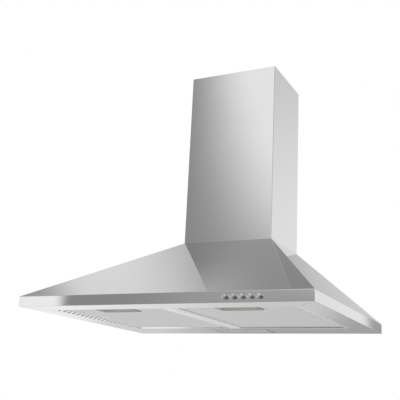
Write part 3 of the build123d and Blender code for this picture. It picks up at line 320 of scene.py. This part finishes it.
def make_mesh_metal(name):
    """Expanded aluminium mesh: bright strands round small diamond holes, which are not cut but painted a darker
    grey as the shade seen through them.
    """
    material = bpy.data.materials.new(name)
    nodes = Nodes(material)
    place = nodes.place()
    x, y, _ = nodes.parts(place)
    across, along = x * (pi / DIAMOND_WIDTH), y * (pi / DIAMOND_LENGTH)
    hole = (abs((across + along).math("SINE")) * abs((across - along).math("SINE"))).step(0.30, 0.55)
    cloud = nodes.cloud(place, 11)
    strand = nodes.blend(cloud, grey(0.92), grey(0.96))
    nodes.close(
        {
            # The holes are painted darker, as shade
            "Base Color": nodes.blend(hole, strand, grey(0.80)),
            "Metallic": 0.30,
            "Roughness": 0.42 + 0.15 * cloud,
            "Normal": nodes.bump(1 - hole, strength=0.5, depth=0.0004),
        }
    )
    return material


def make_finish(name, dark, light, gloss, grain, depth, fixed):
    """A finish whose tone, gloss and surface vary a little over the piece."""
    material = bpy.data.materials.new(name)
    nodes = Nodes(material)
    place = nodes.place()
    cloud = nodes.cloud(place, 13)
    speckle = nodes.cloud(place, grain, detail=4.0)
    sockets = {
        "Base Color": nodes.blend(cloud * 0.6 + speckle * 0.4, dark, light),
        "Roughness": gloss + 0.12 * speckle,
        "Normal": nodes.bump(speckle, strength=0.3, depth=depth),
    }
    nodes.close(sockets | fixed)
    return material


def make_lens_plastic(name):
    """Frosted diffuser with fine ribs across it, their crests painted lighter and their troughs darker as
    shading.
    """
    material = bpy.data.materials.new(name)
    nodes = Nodes(material)
    place = nodes.place()
    x, _, _ = nodes.parts(place)
    ribs = (x * (2 * pi / LENS_RIB)).math("SINE") * 0.5 + 0.5
    cloud = nodes.cloud(place, 15)
    nodes.close(
        {
            # The colour follows the ribs' height: painted shading, lighter on the crests
            "Base Color": nodes.blend(cloud * 0.5 + ribs * 0.5, grey(0.62, 0.02), grey(0.74, 0.02)),
            "Roughness": 0.35 + 0.1 * cloud,
            "Transmission Weight": 0.15,
            "Normal": nodes.bump(ribs, strength=0.4, depth=0.0004),
        }
    )
    return material


# A finish's darkest and lightest tone, least roughness, specks to a metre, depth of a speck, and fixed sockets
METAL = {"Metallic": 1.0}
CUP_DARK, CUP_LIGHT = (0.66, 0.66, 0.63, 1), (0.74, 0.74, 0.71, 1)
finishes = {
    "stainless": make_brushed_steel("brushed_steel", grey(0.56), grey(0.66)),
    "filter_aluminium": make_finish("filter_aluminium", grey(0.87), grey(0.95), 0.14, 900, 0.000004, METAL),
    "galvanised": make_finish("galvanised_sheet", grey(0.42), grey(0.60), 0.42, 160, 0.00008, METAL),
    "handle_grey": make_finish("handle_grey", CUP_DARK, CUP_LIGHT, 0.45, 1500, 0.00006, {}),
    "button_chrome": make_finish("button_chrome", grey(0.70), grey(0.80), 0.06, 700, 0.00001, METAL),
    "lens_frosted": make_lens_plastic("lens_frosted"),
    "bulb_glass": make_finish("bulb_glass", grey(0.80, 0.03), grey(0.90, 0.03), 0.12, 400, 0.00002, {}),
    "ceramic_white": make_finish("ceramic_white", grey(0.70, 0.02), grey(0.80, 0.02), 0.35, 900, 0.00004, {}),
    "blower_plastic": make_finish("blower_plastic", grey(0.035), grey(0.06), 0.48, 1400, 0.00008, {}),
    "impeller_plastic": make_finish("impeller_plastic", grey(0.11), grey(0.16), 0.42, 1300, 0.00006, {}),
    "motor_enamel": make_finish("motor_enamel", grey(0.16), grey(0.22), 0.38, 800, 0.00008, {}),
    "zinc_steel": make_finish("zinc_steel", grey(0.46), grey(0.60), 0.30, 1100, 0.00005, METAL),
    "rubber_black": make_finish("rubber_black", grey(0.02), grey(0.035), 0.62, 1700, 0.00008, {}),
    "cable_grey": make_finish("cable_grey", grey(0.20), grey(0.27), 0.50, 1200, 0.00005, {}),
}
mesh_metal = make_mesh_metal("expanded_mesh")
# Painted shade: a darker copy of the buttons' chrome for their sides, standing in for the shade there
button_side_painted_shade = make_finish("button_side_painted_shade", grey(0.45), grey(0.55), 0.14, 700, 0.00002, METAL)
# Painted shade: a dark grey strip at one end of the diffuser, standing in for the shade there
lens_end_painted_shade = make_finish("lens_end_painted_shade", grey(0.16), grey(0.22), 0.40, 900, 0.00005, {})
# Painted shade: near black for the skirts of the finger cups, standing in for the shade round them
cup_wall_painted_shade = make_finish("cup_wall_painted_shade", grey(0.10), grey(0.14), 0.45, 1500, 0.00006, {})
# Painted shade: a darker matt grey for the floors of the left filter's slots, standing in for the shade in them
slot_shade = make_finish("slot_shade", grey(0.36), grey(0.44), 0.45, 900, 0.00005, {})
pleat_metal = make_finish("pleat_metal", grey(0.86), grey(0.92), 0.03, 900, 0.00001, METAL)

for subpart in frame["record"]["subparts"]:
    node = frame["nodes"][subpart["node"]]
    node.data.materials.clear()
    node.data.materials.append(finishes[subpart["material_slot"]])
for layer in ("filter_core", "filter_back"):
    for side in SIDES:
        frame["nodes"][f"{layer}_{side}"].data.materials[0] = mesh_metal


def only(kind, items):
    """The items of one kind in what an operator gives back."""
    return [item for item in items if isinstance(item, kind)]


def once(items):
    """Items in their order, each of them once."""
    return list(dict.fromkeys(items))


def faces_way(face, way):
    """Whether a face looks squarely in a direction."""
    return face.normal.dot(way) > SQUARELY


def turn_faces(faces, way):
    """Turn over the faces that look away from a direction."""
    for face in faces:
        face.normal_update()
        if face.normal.dot(way) < 0:
            face.normal_flip()


def fold_sheet(bm, rows, closed=False):
    """Extrude a sheet's first row of points through the rows that follow, and return the last row's edges."""
    row_verts = [bm.verts.new(point) for point in rows[0]]
    ends = row_verts[1:] + row_verts[:1] if closed else row_verts[1:]
    row_edges = [bm.edges.new(pair) for pair in zip(row_verts, ends)]
    for row in rows[1:]:
        extruded = bmesh.ops.extrude_edge_only(bm, edges=row_edges)["geom"]
        fresh = set(only(BMVert, extruded))
        row_edges = [edge for edge in only(BMEdge, extruded) if set(edge.verts) <= fresh]
        row_verts = [next(e.other_vert(v) for e in v.link_edges if e.other_vert(v) in fresh) for v in row_verts]
        for vert, point in zip(row_verts, row):
            vert.co = point
    return row_edges


def face_out(bm, middle):
    """Turn all faces of an open sheet away from a point inside it."""
    bmesh.ops.recalc_face_normals(bm, faces=bm.faces)
    outward = 0.0
    for face in bm.faces:
        outward += face.normal.dot(face.calc_center_median() - Vector(middle)) * face.calc_area()
    if outward < 0:
        bmesh.ops.reverse_faces(bm, faces=bm.faces)


def bevel(bm, edges, width, segments=3, clamp=True):
    """Round edges, or flatten them with one segment, and return the new faces."""
    return bmesh.ops.bevel(
        bm,
        geom=list(edges),
        offset=width,
        offset_type="OFFSET",
        affect="EDGES",
        segments=segments,
        profile=0.5,
        material=-1,
        clamp_overlap=clamp,
    )["faces"]


def sharp_edges(bm, angle):
    """Edges between two faces that meet at more than an angle."""
    return [edge for edge in bm.edges if len(edge.link_faces) == 2 and edge.calc_face_angle() > angle]


def place_piece(bm, name, body, node, materials, wall=0.0):
    """Make a mesh an object that rides on a body and stands for the solid of the same place."""
    for edge in sharp_edges(bm, CREASE):
        edge.smooth = False
    mesh = bpy.data.meshes.new(name)
    bm.to_mesh(mesh)
    bm.free()
    for polygon in mesh.polygons:
        polygon.use_smooth = True
    for material in materials:
        mesh.materials.append(material)
    piece = bpy.data.objects.new(name, mesh)
    bpy.context.scene.collection.objects.link(piece)
    if wall:
        thicken = piece.modifiers.new("wall", "SOLIDIFY")
        thicken.thickness = wall
        thicken.offset = -1
    shading = piece.modifiers.new("flat_faces", "WEIGHTED_NORMAL")
    shading.weight = 100
    shading.keep_sharp = True
    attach(piece, body)
    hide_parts(node)


def u_row(half_width, depth, z):
    """Three sides of a rectangle that is open at the wall."""
    return [(-half_width, 0, z), (-half_width, -depth, z), (half_width, -depth, z), (half_width, 0, z)]


def loop_row(low, high, z, left=0.0, right=None, ends=None):
    """A rectangle drawn in from its outer corners, by the same amount all round or by one for each side."""
    right = left if right is None else right
    ends = left if ends is None else ends
    west, south, east, north = low.x + left, low.y + ends, high.x - right, high.y - ends
    return [(west, north, z), (west, south, z), (east, south, z), (east, north, z)]


def cut_window(bm, chosen, west, east, start, end, axis=2):
    """Cut a window in chosen faces, from west to east and from start to end along another axis."""
    across, along = Vector((1, 0, 0)), Vector((0, 0, 0))
    along[axis] = 1
    for way, reach in ((across, west), (across, east), (along, start), (along, end)):
        geom = once(item for face in filter(chosen, bm.faces) for item in (face, *face.edges, *face.verts))
        bmesh.ops.bisect_plane(bm, geom=geom, dist=SAME_PLACE, plane_co=way * reach, plane_no=way)
    window = []
    for face in filter(chosen, bm.faces):
        centre = face.calc_center_median()
        if west < centre.x < east and start < centre[axis] < end:
            window.append(face)
    bmesh.ops.delete(bm, geom=window, context="FACES")


def cut_mitre_seams(bm):
    """Sink a fine groove along the mitre of each bottom corner, short of its ends."""
    mitres = []
    for edge in bm.edges:
        low_down = all(vert.co.z < UNDERSIDE + SEAM_HALF_WIDTH for vert in edge.verts)
        run = edge.verts[0].co - edge.verts[1].co
        slanted = min(abs(run.x), abs(run.y)) > SIDE_FLANGE / 2
        if len(edge.link_faces) == 2 and low_down and slanted and run.length > FRONT_FLANGE / 2:
            mitres.append(edge)
    ends = [vert.co.copy() for edge in mitres for vert in edge.verts]
    pieces = only(BMEdge, bmesh.ops.subdivide_edges(bm, edges=mitres, cuts=SEAM_CUTS)["geom_split"])
    seams = []
    for edge in pieces:
        if all((vert.co - end).length > SHEET for vert in edge.verts for end in ends):
            seams.append(edge)
    groove = bevel(bm, seams, SEAM_HALF_WIDTH, segments=1, clamp=False)
    bmesh.ops.inset_region(bm, faces=groove, thickness=SEAM_HALF_WIDTH / 4, depth=-SEAM_DEPTH)


def cut_button_hole(bm, number):
    """Cut a round hole in the band for a button."""
    low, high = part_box(f"button_{number}")
    middle = (low.x + high.x) / 2
    cell = (middle - HOLE_CELL, middle + HOLE_CELL, BUTTON_LEVEL - HOLE_CELL, BUTTON_LEVEL + HOLE_CELL)

    def is_behind_button(face):
        across = [vert.co.x for vert in face.verts]
        upwards = [vert.co.z for vert in face.verts]
        inside = min(across) < middle < max(across) and min(upwards) < BUTTON_LEVEL < max(upwards)
        return inside and faces_way(face, FRONTWARD)

    def is_round_cell(vert):
        return abs(vert.co.x - middle) < HOLE_CELL + SHEET and vert.co.y < SHEET - HOOD_DEPTH

    cut_window(bm, is_behind_button, *cell)
    open_edges = [edge for edge in bm.edges if edge.is_boundary and all(map(is_round_cell, edge.verts))]
    upright = Matrix.Translation((middle, -HOOD_DEPTH, BUTTON_LEVEL)) @ Matrix.Rotation(pi / 2, 4, "X")
    ring = bmesh.ops.create_circle(
        bm, cap_ends=False, segments=BUTTON_STEPS, radius=BUTTON_HOLE, matrix=upright
    )["verts"]
    ring_edges = once(edge for vert in ring for edge in vert.link_edges)
    turn_faces(bmesh.ops.bridge_loops(bm, edges=open_edges + ring_edges)["faces"], FRONTWARD)
    for edge in ring_edges:
        edge.smooth = False


def make_canopy():
    """Bottom flanges, band, slopes and top flange folded from one sheet, with seams below and button holes."""
    bm = bmesh.new()
    inner_width, inner_depth = HOOD_HALF_WIDTH - SIDE_FLANGE, HOOD_DEPTH - FRONT_FLANGE
    fold_sheet(
        bm,
        [
            u_row(inner_width, inner_depth, UNDERSIDE + FLANGE_LIP),
            u_row(inner_width, inner_depth, UNDERSIDE),
            u_row(HOOD_HALF_WIDTH, HOOD_DEPTH, UNDERSIDE),
            u_row(HOOD_HALF_WIDTH, HOOD_DEPTH, BAND_TOP),
            u_row(FLUE_HALF_WIDTH, FLUE_DEPTH, CANOPY_TOP),
            u_row(FLUE_HALF_WIDTH - TOP_FLANGE, FLUE_DEPTH - TOP_FLANGE, CANOPY_TOP),
        ],
    )
    face_out(bm, (0, -HOOD_DEPTH / 2, BAND_TOP))
    bevel(bm, sharp_edges(bm, ANY_FOLD), FOLD_RADIUS)
    cut_mitre_seams(bm)
    # The margin keeps the cut faces off the band's folds, so that the band stays flat in its shading
    band = max((face for face in bm.faces if faces_way(face, FRONTWARD)), key=lambda face: face.calc_area())
    bmesh.ops.inset_individual(bm, faces=[band], thickness=BAND_MARGIN)
    for number in BUTTONS:
        cut_button_hole(bm, number)
    place_piece(bm, "canopy", "hood", "canopy_shell", [finishes["stainless"]], SHEET)


def add_foot(bm, x, bottom, reach):
    """Fold a foot inwards from the bottom of a flue cover's side."""
    sole = []
    for edge in bm.edges:
        if all(vert.co.z < bottom + SHEET and abs(vert.co.x - x) < SHEET / 10 for vert in edge.verts):
            sole.append(edge)
    grown = bmesh.ops.extrude_edge_only(bm, edges=sole)["geom"]
    bmesh.ops.translate(bm, verts=only(BMVert, grown), vec=(reach, 0, 0))


def make_flue(name, node, body, wall_return, foot):
    """A flue cover folded from one sheet, with returns at the wall and, if it has any, feet at the sides."""
    low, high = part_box(node)
    bm = bmesh.new()
    row = [
        (low.x + wall_return, high.y),
        (low.x, high.y),
        (low.x, low.y),
        (high.x, low.y),
        (high.x, high.y),
        (high.x - wall_return, high.y),
    ]
    fold_sheet(bm, [[(x, y, low.z) for x, y in row], [(x, y, high.z) for x, y in row]])
    face_out(bm, (low + high) / 2)
    bevel(bm, sharp_edges(bm, ANY_FOLD), FLUE_FOLD_RADIUS, segments=4)
    if foot:
        add_foot(bm, low.x, low.z, foot)
        add_foot(bm, high.x, low.z, -foot)
    place_piece(bm, name, body, node, [finishes["stainless"]], SHEET)


def latch_way(side):
    """The left, right, bottom and top of the window that a latch's tongue slides through."""
    low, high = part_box(f"latch_{side}")
    return low.x - LATCH_PLAY, high.x + LATCH_PLAY, low.z - LATCH_PLAY, low.z + LATCH_TONGUE + LATCH_PLAY


def cut_slots(bm, slope):
    """Divide a filter's sloped border across, sink every second cell of it and return these."""
    long_edges = sorted(slope.edges, key=lambda edge: edge.calc_length())[-2:]
    cuts = 2 * round(long_edges[0].calc_length() / SLOT_PITCH)
    inner = bmesh.ops.subdivide_edges(bm, edges=long_edges, cuts=cuts, use_grid_fill=True)["geom_inner"]
    cells = once(face for edge in only(BMEdge, inner) for face in edge.link_faces)
    slots = sorted(cells, key=lambda face: face.calc_center_median().y)[1::2]
    bmesh.ops.inset_individual(bm, faces=slots, thickness=SLOT_MARGIN, depth=-SLOT_DEPTH)
    return slots


def add_pleats(bm, low, high, flat_rim):
    """A finely pleated strip along the inside of a filter's rear end."""
    left, right = low.x + NARROW_RIM + SIDE_SLOPE, high.x - flat_rim - RIM_LIP
    bottom, top = low.z + PLEAT_FOOT, low.z + PLEAT_TOP
    pleats = round((right - left) / PLEAT_PITCH)
    half_pitch = (right - left) / (2 * pleats)
    place = Vector(((left + right) / 2, high.y - NARROW_RIM - RIM_LIP - PLEAT_DEPTH / 2, (bottom + top) / 2))
    size = Matrix.Diagonal(((right - left) / 2, 1, (top - bottom) / 2, 1))
    upright = Matrix.Translation(place) @ size @ Matrix.Rotation(pi / 2, 4, "X")
    strip = bmesh.ops.create_grid(bm, x_segments=2 * pleats, y_segments=1, size=1.0, matrix=upright)["verts"]
    ridges = [vert for vert in strip if round((vert.co.x - left) / half_pitch) % 2]
    bmesh.ops.translate(bm, verts=ridges, vec=(2 * PLEAT_SKEW * half_pitch, -PLEAT_DEPTH, 0))
    upper = [vert for vert in strip if vert.co.z > place.z]
    bmesh.ops.translate(bm, verts=upper, vec=(0, -PLEAT_LEAN, 0))
    faces = once(face for vert in strip for face in vert.link_faces)
    turn_faces(faces, FRONTWARD)
    for face in faces:
        if abs(face.normal.x) < NEARLY_ACROSS:
            face.material_index = PLEAT_FINISH
        for edge in face.edges:
            edge.smooth = False


def add_tab(bm, x, rear, bottom):
    """One of the flat tabs behind a filter, on which it swings."""
    centre = Vector((x, rear + TAB_LENGTH / 2, bottom + TAB_THICKNESS / 2))
    size = Matrix.Diagonal((TAB_WIDTH, TAB_LENGTH, TAB_THICKNESS, 1))
    tab = bmesh.ops.create_cube(bm, size=1.0, matrix=Matrix.Translation(centre) @ size)["verts"]
    bevel(bm, once(edge for vert in tab for edge in vert.link_edges), TAB_THICKNESS / 4, segments=2)


def make_rim(side, low, high):
    """A filter's frame: slotted left border, pleated rear end, tabs, and windows for the latch."""
    bm = bmesh.new()
    rise, flat_rim = BORDER_RISE[side], FLAT_RIM[side]
    lip_slope = SIDE_SLOPE * RIM_LIP / rise
    inner_right, inner_ends = flat_rim + RIM_LIP, NARROW_RIM + RIM_LIP
    fold_sheet(
        bm,
        [
            loop_row(low, high, low.z + rise, NARROW_RIM + SIDE_SLOPE, inner_right, inner_ends),
            loop_row(low, high, low.z + RIM_LIP, NARROW_RIM + lip_slope, inner_right, inner_ends),
            loop_row(low, high, low.z, NARROW_RIM, flat_rim, NARROW_RIM),
            loop_row(low, high, low.z),
            loop_row(low, high, high.z),
            loop_row(low, high, high.z, FILTER_TOP_RETURN),
        ],
        closed=True,
    )
    middle = (low + high) / 2
    face_out(bm, middle)
    bevel(bm, sharp_edges(bm, SQUARE_FOLD), FILTER_SHEET / 2)

    def leans(face):
        sloped = face.normal.x > LEANING and face.normal.z < -ACROSS
        return sloped and face.calc_area() > SLOPE_LEAST_AREA

    shared = [edge for edge in bm.edges if len(edge.link_faces) == 2 and all(map(leans, edge.link_faces))]
    bmesh.ops.dissolve_edges(bm, edges=shared, use_verts=True)
    slots = cut_slots(bm, next(filter(leans, bm.faces)))
    # The left filter's slots are painted darker, as shade in them
    if side == "left":
        for slot in slots:
            slot.material_index = SLOT_PAINTED_SHADE

    def covers_front(face):
        return faces_way(face, UPWARD) and face.calc_center_median().y < low.y + FILTER_TOP_RETURN

    west, east, bottom, top = latch_way(side)
    cut_window(bm, lambda face: faces_way(face, FRONTWARD), west, east, bottom, top)
    cut_window(bm, covers_front, west, east, high.z - SHEET, high.z + SHEET)
    for offset in (-TAB_HALF_SPACING, TAB_HALF_SPACING):
        add_tab(bm, middle.x + offset, high.y, low.z + SHEET + TAB_LIFT)
    add_pleats(bm, low, high, flat_rim)
    materials = [finishes["filter_aluminium"], pleat_metal, slot_shade]
    name, body, node = f"filter_rim_{side}", f"filter_{side}", f"filter_frame_{side}"
    place_piece(bm, name, body, node, materials, FILTER_SHEET)


def make_mesh(side, low, high):
    """The waved mesh in a filter, with an opening for the finger cup."""
    bm = bmesh.new()
    middle = (low + high) / 2
    left, right = low.x + NARROW_RIM + SIDE_SLOPE - SHEET, high.x - FLAT_RIM[side] - RIM_LIP
    width, length = right - left, high.y - low.y - 2 * NARROW_RIM - 2 * RIM_LIP
    waves = round(width / WAVE_PITCH)
    place = Matrix.Translation(((left + right) / 2, middle.y, FACE_LEVEL))
    spread = place @ Matrix.Diagonal((width / 2, length / 2, 1, 1))
    grid = bmesh.ops.create_grid(bm, x_segments=2 * waves, y_segments=1, size=1.0, matrix=spread)["verts"]
    crests = [vert for vert in grid if round((vert.co.x - left) * 2 * waves / width) % 2]
    bmesh.ops.translate(bm, verts=crests, vec=(0, 0, WAVE_HEIGHT))
    west, east = middle.x - CUP_HALF_WIDTH, middle.x + CUP_HALF_WIDTH
    cut_window(bm, lambda face: True, west, east, -CUP_FRONT, -CUP_REAR, axis=1)
    turn_faces(bm.faces, DOWNWARD)
    name, body, node = f"filter_mesh_{side}", f"filter_{side}", f"filter_face_{side}"
    place_piece(bm, name, body, node, [mesh_metal], FILTER_SHEET)


def make_finger_cup(side, middle):
    """A filter's finger cup with its bezel, its skirt painted dark as shade, and a window for the latch in its
    front wall.
    """
    bm = bmesh.new()
    low = Vector((middle - CUP_HALF_WIDTH, -CUP_FRONT, 0))
    high = Vector((middle + CUP_HALF_WIDTH, -CUP_REAR, 0))
    ceiling = fold_sheet(
        bm,
        [
            loop_row(low, high, CUP_MOUTH + CUP_SKIRT, -CUP_BEZEL),
            loop_row(low, high, CUP_MOUTH, -CUP_BEZEL),
            loop_row(low, high, CUP_MOUTH),
            loop_row(low, high, CUP_CEILING, CUP_WALL / 2),
        ],
        closed=True,
    )
    bmesh.ops.edgeloop_fill(bm, edges=ceiling)
    bmesh.ops.recalc_face_normals(bm, faces=bm.faces)
    lid = max(bm.faces, key=lambda face: face.calc_center_median().z)
    if lid.normal.z > 0:
        bmesh.ops.reverse_faces(bm, faces=bm.faces)

    def is_front_wall(face):
        return faces_way(face, REARWARD) and face.calc_center_median().z > CUP_MOUTH

    def stands(edge):
        return abs(edge.verts[0].co.z - edge.verts[1].co.z) > CUP_WALL / 2

    cut_window(bm, is_front_wall, *latch_way(side))
    bevel(bm, filter(stands, sharp_edges(bm, STEEP_FOLD)), CUP_CORNER, segments=5)
    bevel(bm, sharp_edges(bm, STEEP_FOLD), CUP_WALL / 3)
    centre = (low + high) / 2
    # Standing faces that look outward, such as the skirt's, are painted dark as shade
    for face in bm.faces:
        outward = (face.calc_center_median() - centre).dot(face.normal)
        face.material_index = int(abs(face.normal.z) < ACROSS and outward > 0)
    name, body, node = f"finger_cup_{side}", f"filter_{side}", f"handle_cup_{side}"
    place_piece(bm, name, body, node, [finishes["handle_grey"], cup_wall_painted_shade], CUP_WALL)


def make_filter(side):
    """A filter's frame, mesh and finger cup."""
    low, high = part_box(f"filter_frame_{side}")
    high = Vector((high.x, -FILTER_REAR, high.z))
    make_rim(side, low, high)
    make_mesh(side, low, high)
    make_finger_cup(side, (low.x + high.x) / 2)


def make_button(number):
    """A button turned from its profile: stem, retaining collar, cap and ringed face."""
    low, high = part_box(f"button_{number}")
    middle = (low.x + high.x) / 2
    profile = [
        (0.0, high.y),
        (BUTTON_STEM, high.y),
        (BUTTON_STEM, COLLAR_BACK),
        (BUTTON_COLLAR, COLLAR_BACK),
        (BUTTON_COLLAR, COLLAR_FRONT),
        (BUTTON_CAP, COLLAR_FRONT),
        *((radius, low.y + depth) for radius, depth in BUTTON_FACE),
    ]
    bm = bmesh.new()
    verts = [bm.verts.new((middle + radius, y, BUTTON_LEVEL)) for radius, y in profile]
    edges = [bm.edges.new(pair) for pair in zip(verts, verts[1:])]
    bmesh.ops.spin(
        bm,
        geom=verts + edges,
        cent=(middle, 0, BUTTON_LEVEL),
        axis=(0, 1, 0),
        angle=2 * pi,
        steps=BUTTON_STEPS,
        use_merge=True,
    )
    bmesh.ops.remove_doubles(bm, verts=bm.verts, dist=SAME_PLACE)
    bmesh.ops.recalc_face_normals(bm, faces=bm.faces)
    # The sides take the darker chrome, a painted shade
    for face in bm.faces:
        face.material_index = int(abs(face.normal.y) < ACROSS)
    name, body, node = f"push_button_{number}", f"push_{number}", f"button_{number}"
    place_piece(bm, name, body, node, [finishes["button_chrome"], button_side_painted_shade])


def make_lens():
    """The lamp's diffuser with rounded edges and a strip at one end painted dark as shade."""
    low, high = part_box("lamp_lens")
    bm = bmesh.new()
    spread = Matrix.Translation((low + high) / 2) @ Matrix.Diagonal((*(high - low), 1))
    bmesh.ops.create_cube(bm, size=1.0, matrix=spread)
    bevel(bm, bm.edges, LENS_EDGE)
    shaded_end = high.x - LENS_SHADED_END
    geom = bm.verts[:] + bm.edges[:] + bm.faces[:]
    bmesh.ops.bisect_plane(bm, geom=geom, plane_co=(shaded_end, 0, 0), plane_no=(1, 0, 0))
    # The faces past that line are painted dark as shade
    for face in bm.faces:
        face.material_index = int(face.calc_center_median().x > shaded_end)
    materials = [finishes["lens_frosted"], lens_end_painted_shade]
    place_piece(bm, "lamp_diffuser", "hood", "lamp_lens", materials)


make_canopy()
make_flue("flue_cover", "chimney_cover", "hood", COVER_RETURN, COVER_FOOT)
make_flue("flue_extension", "chimney_extension", "extension", EXTENSION_RETURN, 0)
for side in SIDES:
    make_filter(side)
for number in BUTTONS:
    make_button(number)
make_lens()


def make_floor_paint():
    """Pale matt paint that fades out into the studio."""
    material = bpy.data.materials.new("floor_paint")
    nodes = Nodes(material)
    place = nodes.place()
    x, y, _ = nodes.parts(place)
    cloud = nodes.cloud(place, 2)
    far = (x * x + y * y).math("SQRT").step(*FLOOR_FADE)
    nodes.close(
        {
            "Base Color": nodes.blend(cloud, grey(0.86), grey(0.90)),
            "Roughness": 0.7 + 0.1 * cloud,
            "Alpha": 1 - far,
            "Emission Color": nodes.blend(nodes.sight(), grey(0.0), grey(FLOOR_GLOW)),
            "Emission Strength": 1.0,
        }
    )
    return material


def make_floor():
    """A plain pale floor under the hood."""
    bm = bmesh.new()
    place = Matrix.Translation((0, 0, FLOOR_LEVEL))
    bmesh.ops.create_circle(bm, cap_ends=True, segments=FLOOR_STEPS, radius=FLOOR_RADIUS, matrix=place)
    mesh = bpy.data.meshes.new("floor")
    bm.to_mesh(mesh)
    bm.free()
    floor = bpy.data.objects.new("floor", mesh)
    bpy.context.scene.collection.objects.link(floor)
    mesh.materials.append(make_floor_paint())


def light_front(ahead, z):
    """The level of the studio's front, which the band and the flue mirror: dark, with a bright window."""
    # The window's side is sharper the higher it stands
    window_rise = (z * 0.465 - 0.048).math("MAXIMUM", 0.0)
    window_side = ((WINDOW_SIDE - ahead) * window_rise).step(0.0, 1.0)
    window = window_side * ahead.step(-30, 0) * (1 - z.step(0.48, 0.58))
    low_fade = 0.11 * ahead.step(26, 34) + 0.08 * (1 - ahead.step(17, 24))
    low_tone = (0.11 - low_fade) * (1 - z.step(0.15, 0.22))
    high_tone = (0.15 - 0.27 * ahead.step(25, 37)) * z.step(0.5, 0.58) * (1 - 0.7 * z.step(0.61, 0.65))
    corner_tone = 0.36 * ahead.step(27, 36) * z.step(0.615, 0.655)
    top_tone = 0.2 * z.step(0.45, 0.65)
    horizon = z.step(-0.25, -0.15) * (1 - z.step(-0.08, 0.06))
    horizon_tone = (0.25 - 0.45 * ahead.step(26, 38)) * horizon
    tones = low_tone + high_tone + corner_tone + top_tone - horizon_tone
    return FRONT_LEVEL + tones + WINDOW_LEVEL * window


def light_back(behind, z):
    """The level of the studio's back, which the underside mirrors low down and the front slope higher up."""
    under_front = UNDER_LEVEL + 0.29 * behind.step(13, 17.8) + 0.30 * behind.step(19, 37)
    under_rear = UNDER_LEVEL + 0.30 * behind.step(21.5, 31) + 0.28 * behind.step(32.5, 36.5)
    rear = z.step(-0.128, -0.108)
    under = under_front * (1 - rear) + under_rear * rear
    slope_left = 0.19 * behind.step(-8, 8) * (1 - z.step(0.21, 0.36)) + 0.57 * behind.step(20, 42)
    slope = SLOPE_LEVEL + slope_left + 0.57 * z.step(0.32, 0.5)
    upper = z.step(-0.05, 0.1)
    return (under * (1 - upper) + slope * upper).math("MINIMUM", STUDIO_WHITE)


def light_walls(ahead, behind, beside, back, z):
    """What the studio's side walls and soft box add to its level, and what its dark upper corners take off."""
    soft_box = beside * (1 - ahead.step(55, 75)) * (1 - z.step(0.16, 0.20))
    left_wall = beside * (1 - ahead.step(110, 140)) * z.step(0.16, 0.20) * (1 - z.step(0.5, 0.6))
    right_wall = behind.step(-60, -40) * (1 - back) * (1 - z.step(0.25, 0.45))
    left_rise = 0.1 * behind.step(36, 44) + 0.44 * behind.step(44.5, 49)
    left_high = left_rise * (1 - behind.step(80, 110)) * z.step(0.3, 0.5)
    right_rise = (0.54 + 0.16 * behind.step(-12, 8)) * behind.step(-110, -60)
    right_high = right_rise * (1 - behind.step(29.3, 43)) * z.step(0.22, 0.75)
    right_side = behind.step(-125, -105) * (1 - behind.step(-60, -35))
    left_side = behind.step(60, 80) * (1 - behind.step(100, 108))
    low_sides = (right_side + left_side) * (1 - z.step(-0.35, 0.12))
    return 0.3 * soft_box + 0.05 * right_wall - 0.6 * left_wall - left_high - right_high - 0.45 * low_sides


def make_studio():
    """A soft white studio with darker parts in front of and behind the hood, seen only in reflections.

    A direction is told by its degrees to the left of straight ahead of the hood or straight behind it, and by
    its height z, from -1, down, to 1, up. A level of 1 is white.
    """
    world = bpy.data.worlds.new("studio")
    bpy.context.scene.world = world
    nodes = Nodes(world)
    x, y, z = nodes.parts(nodes.add("ShaderNodeTexCoord", {}, {}, "Generated"))
    ahead = (0 - x).math("ARCTAN2", 0 - y) * (180 / pi)
    behind = (0 - x).math("ARCTAN2", y) * (180 / pi)
    beside = ahead.step(*FRONT_LEFT_EDGE)
    front = ahead.step(*FRONT_RIGHT_EDGE) * (1 - beside)
    back = behind.step(*BACK_RIGHT_EDGE)
    level = STUDIO_WHITE * (1 - back) + light_back(behind, z) * back
    level = (level + light_walls(ahead, behind, beside, back, z)).math("MAXIMUM", STUDIO_LEAST)
    level = level * (1 - front) + light_front(ahead, z) * front
    sight = nodes.sight()
    strength = sight + (1 - sight) * level
    shader = nodes.add("ShaderNodeBackground", {}, {"Color": (1, 1, 1, 1), "Strength": strength})
    nodes.add("ShaderNodeOutputWorld", {}, {"Surface": shader})


def make_camera():
    """The camera at the photograph's viewpoint."""
    lens = bpy.data.cameras.new("camera")
    lens.sensor_width = CAMERA_SENSOR
    lens.lens = CAMERA_LENS
    camera = bpy.data.objects.new("camera", lens)
    camera.location = CAMERA_PLACE
    camera.rotation_euler = [radians(angle) for angle in CAMERA_TURN]
    bpy.context.scene.collection.objects.link(camera)
    bpy.context.scene.camera = camera


make_floor()
make_studio()
make_camera()
bpy.context.scene.view_settings.view_transform = "Standard"
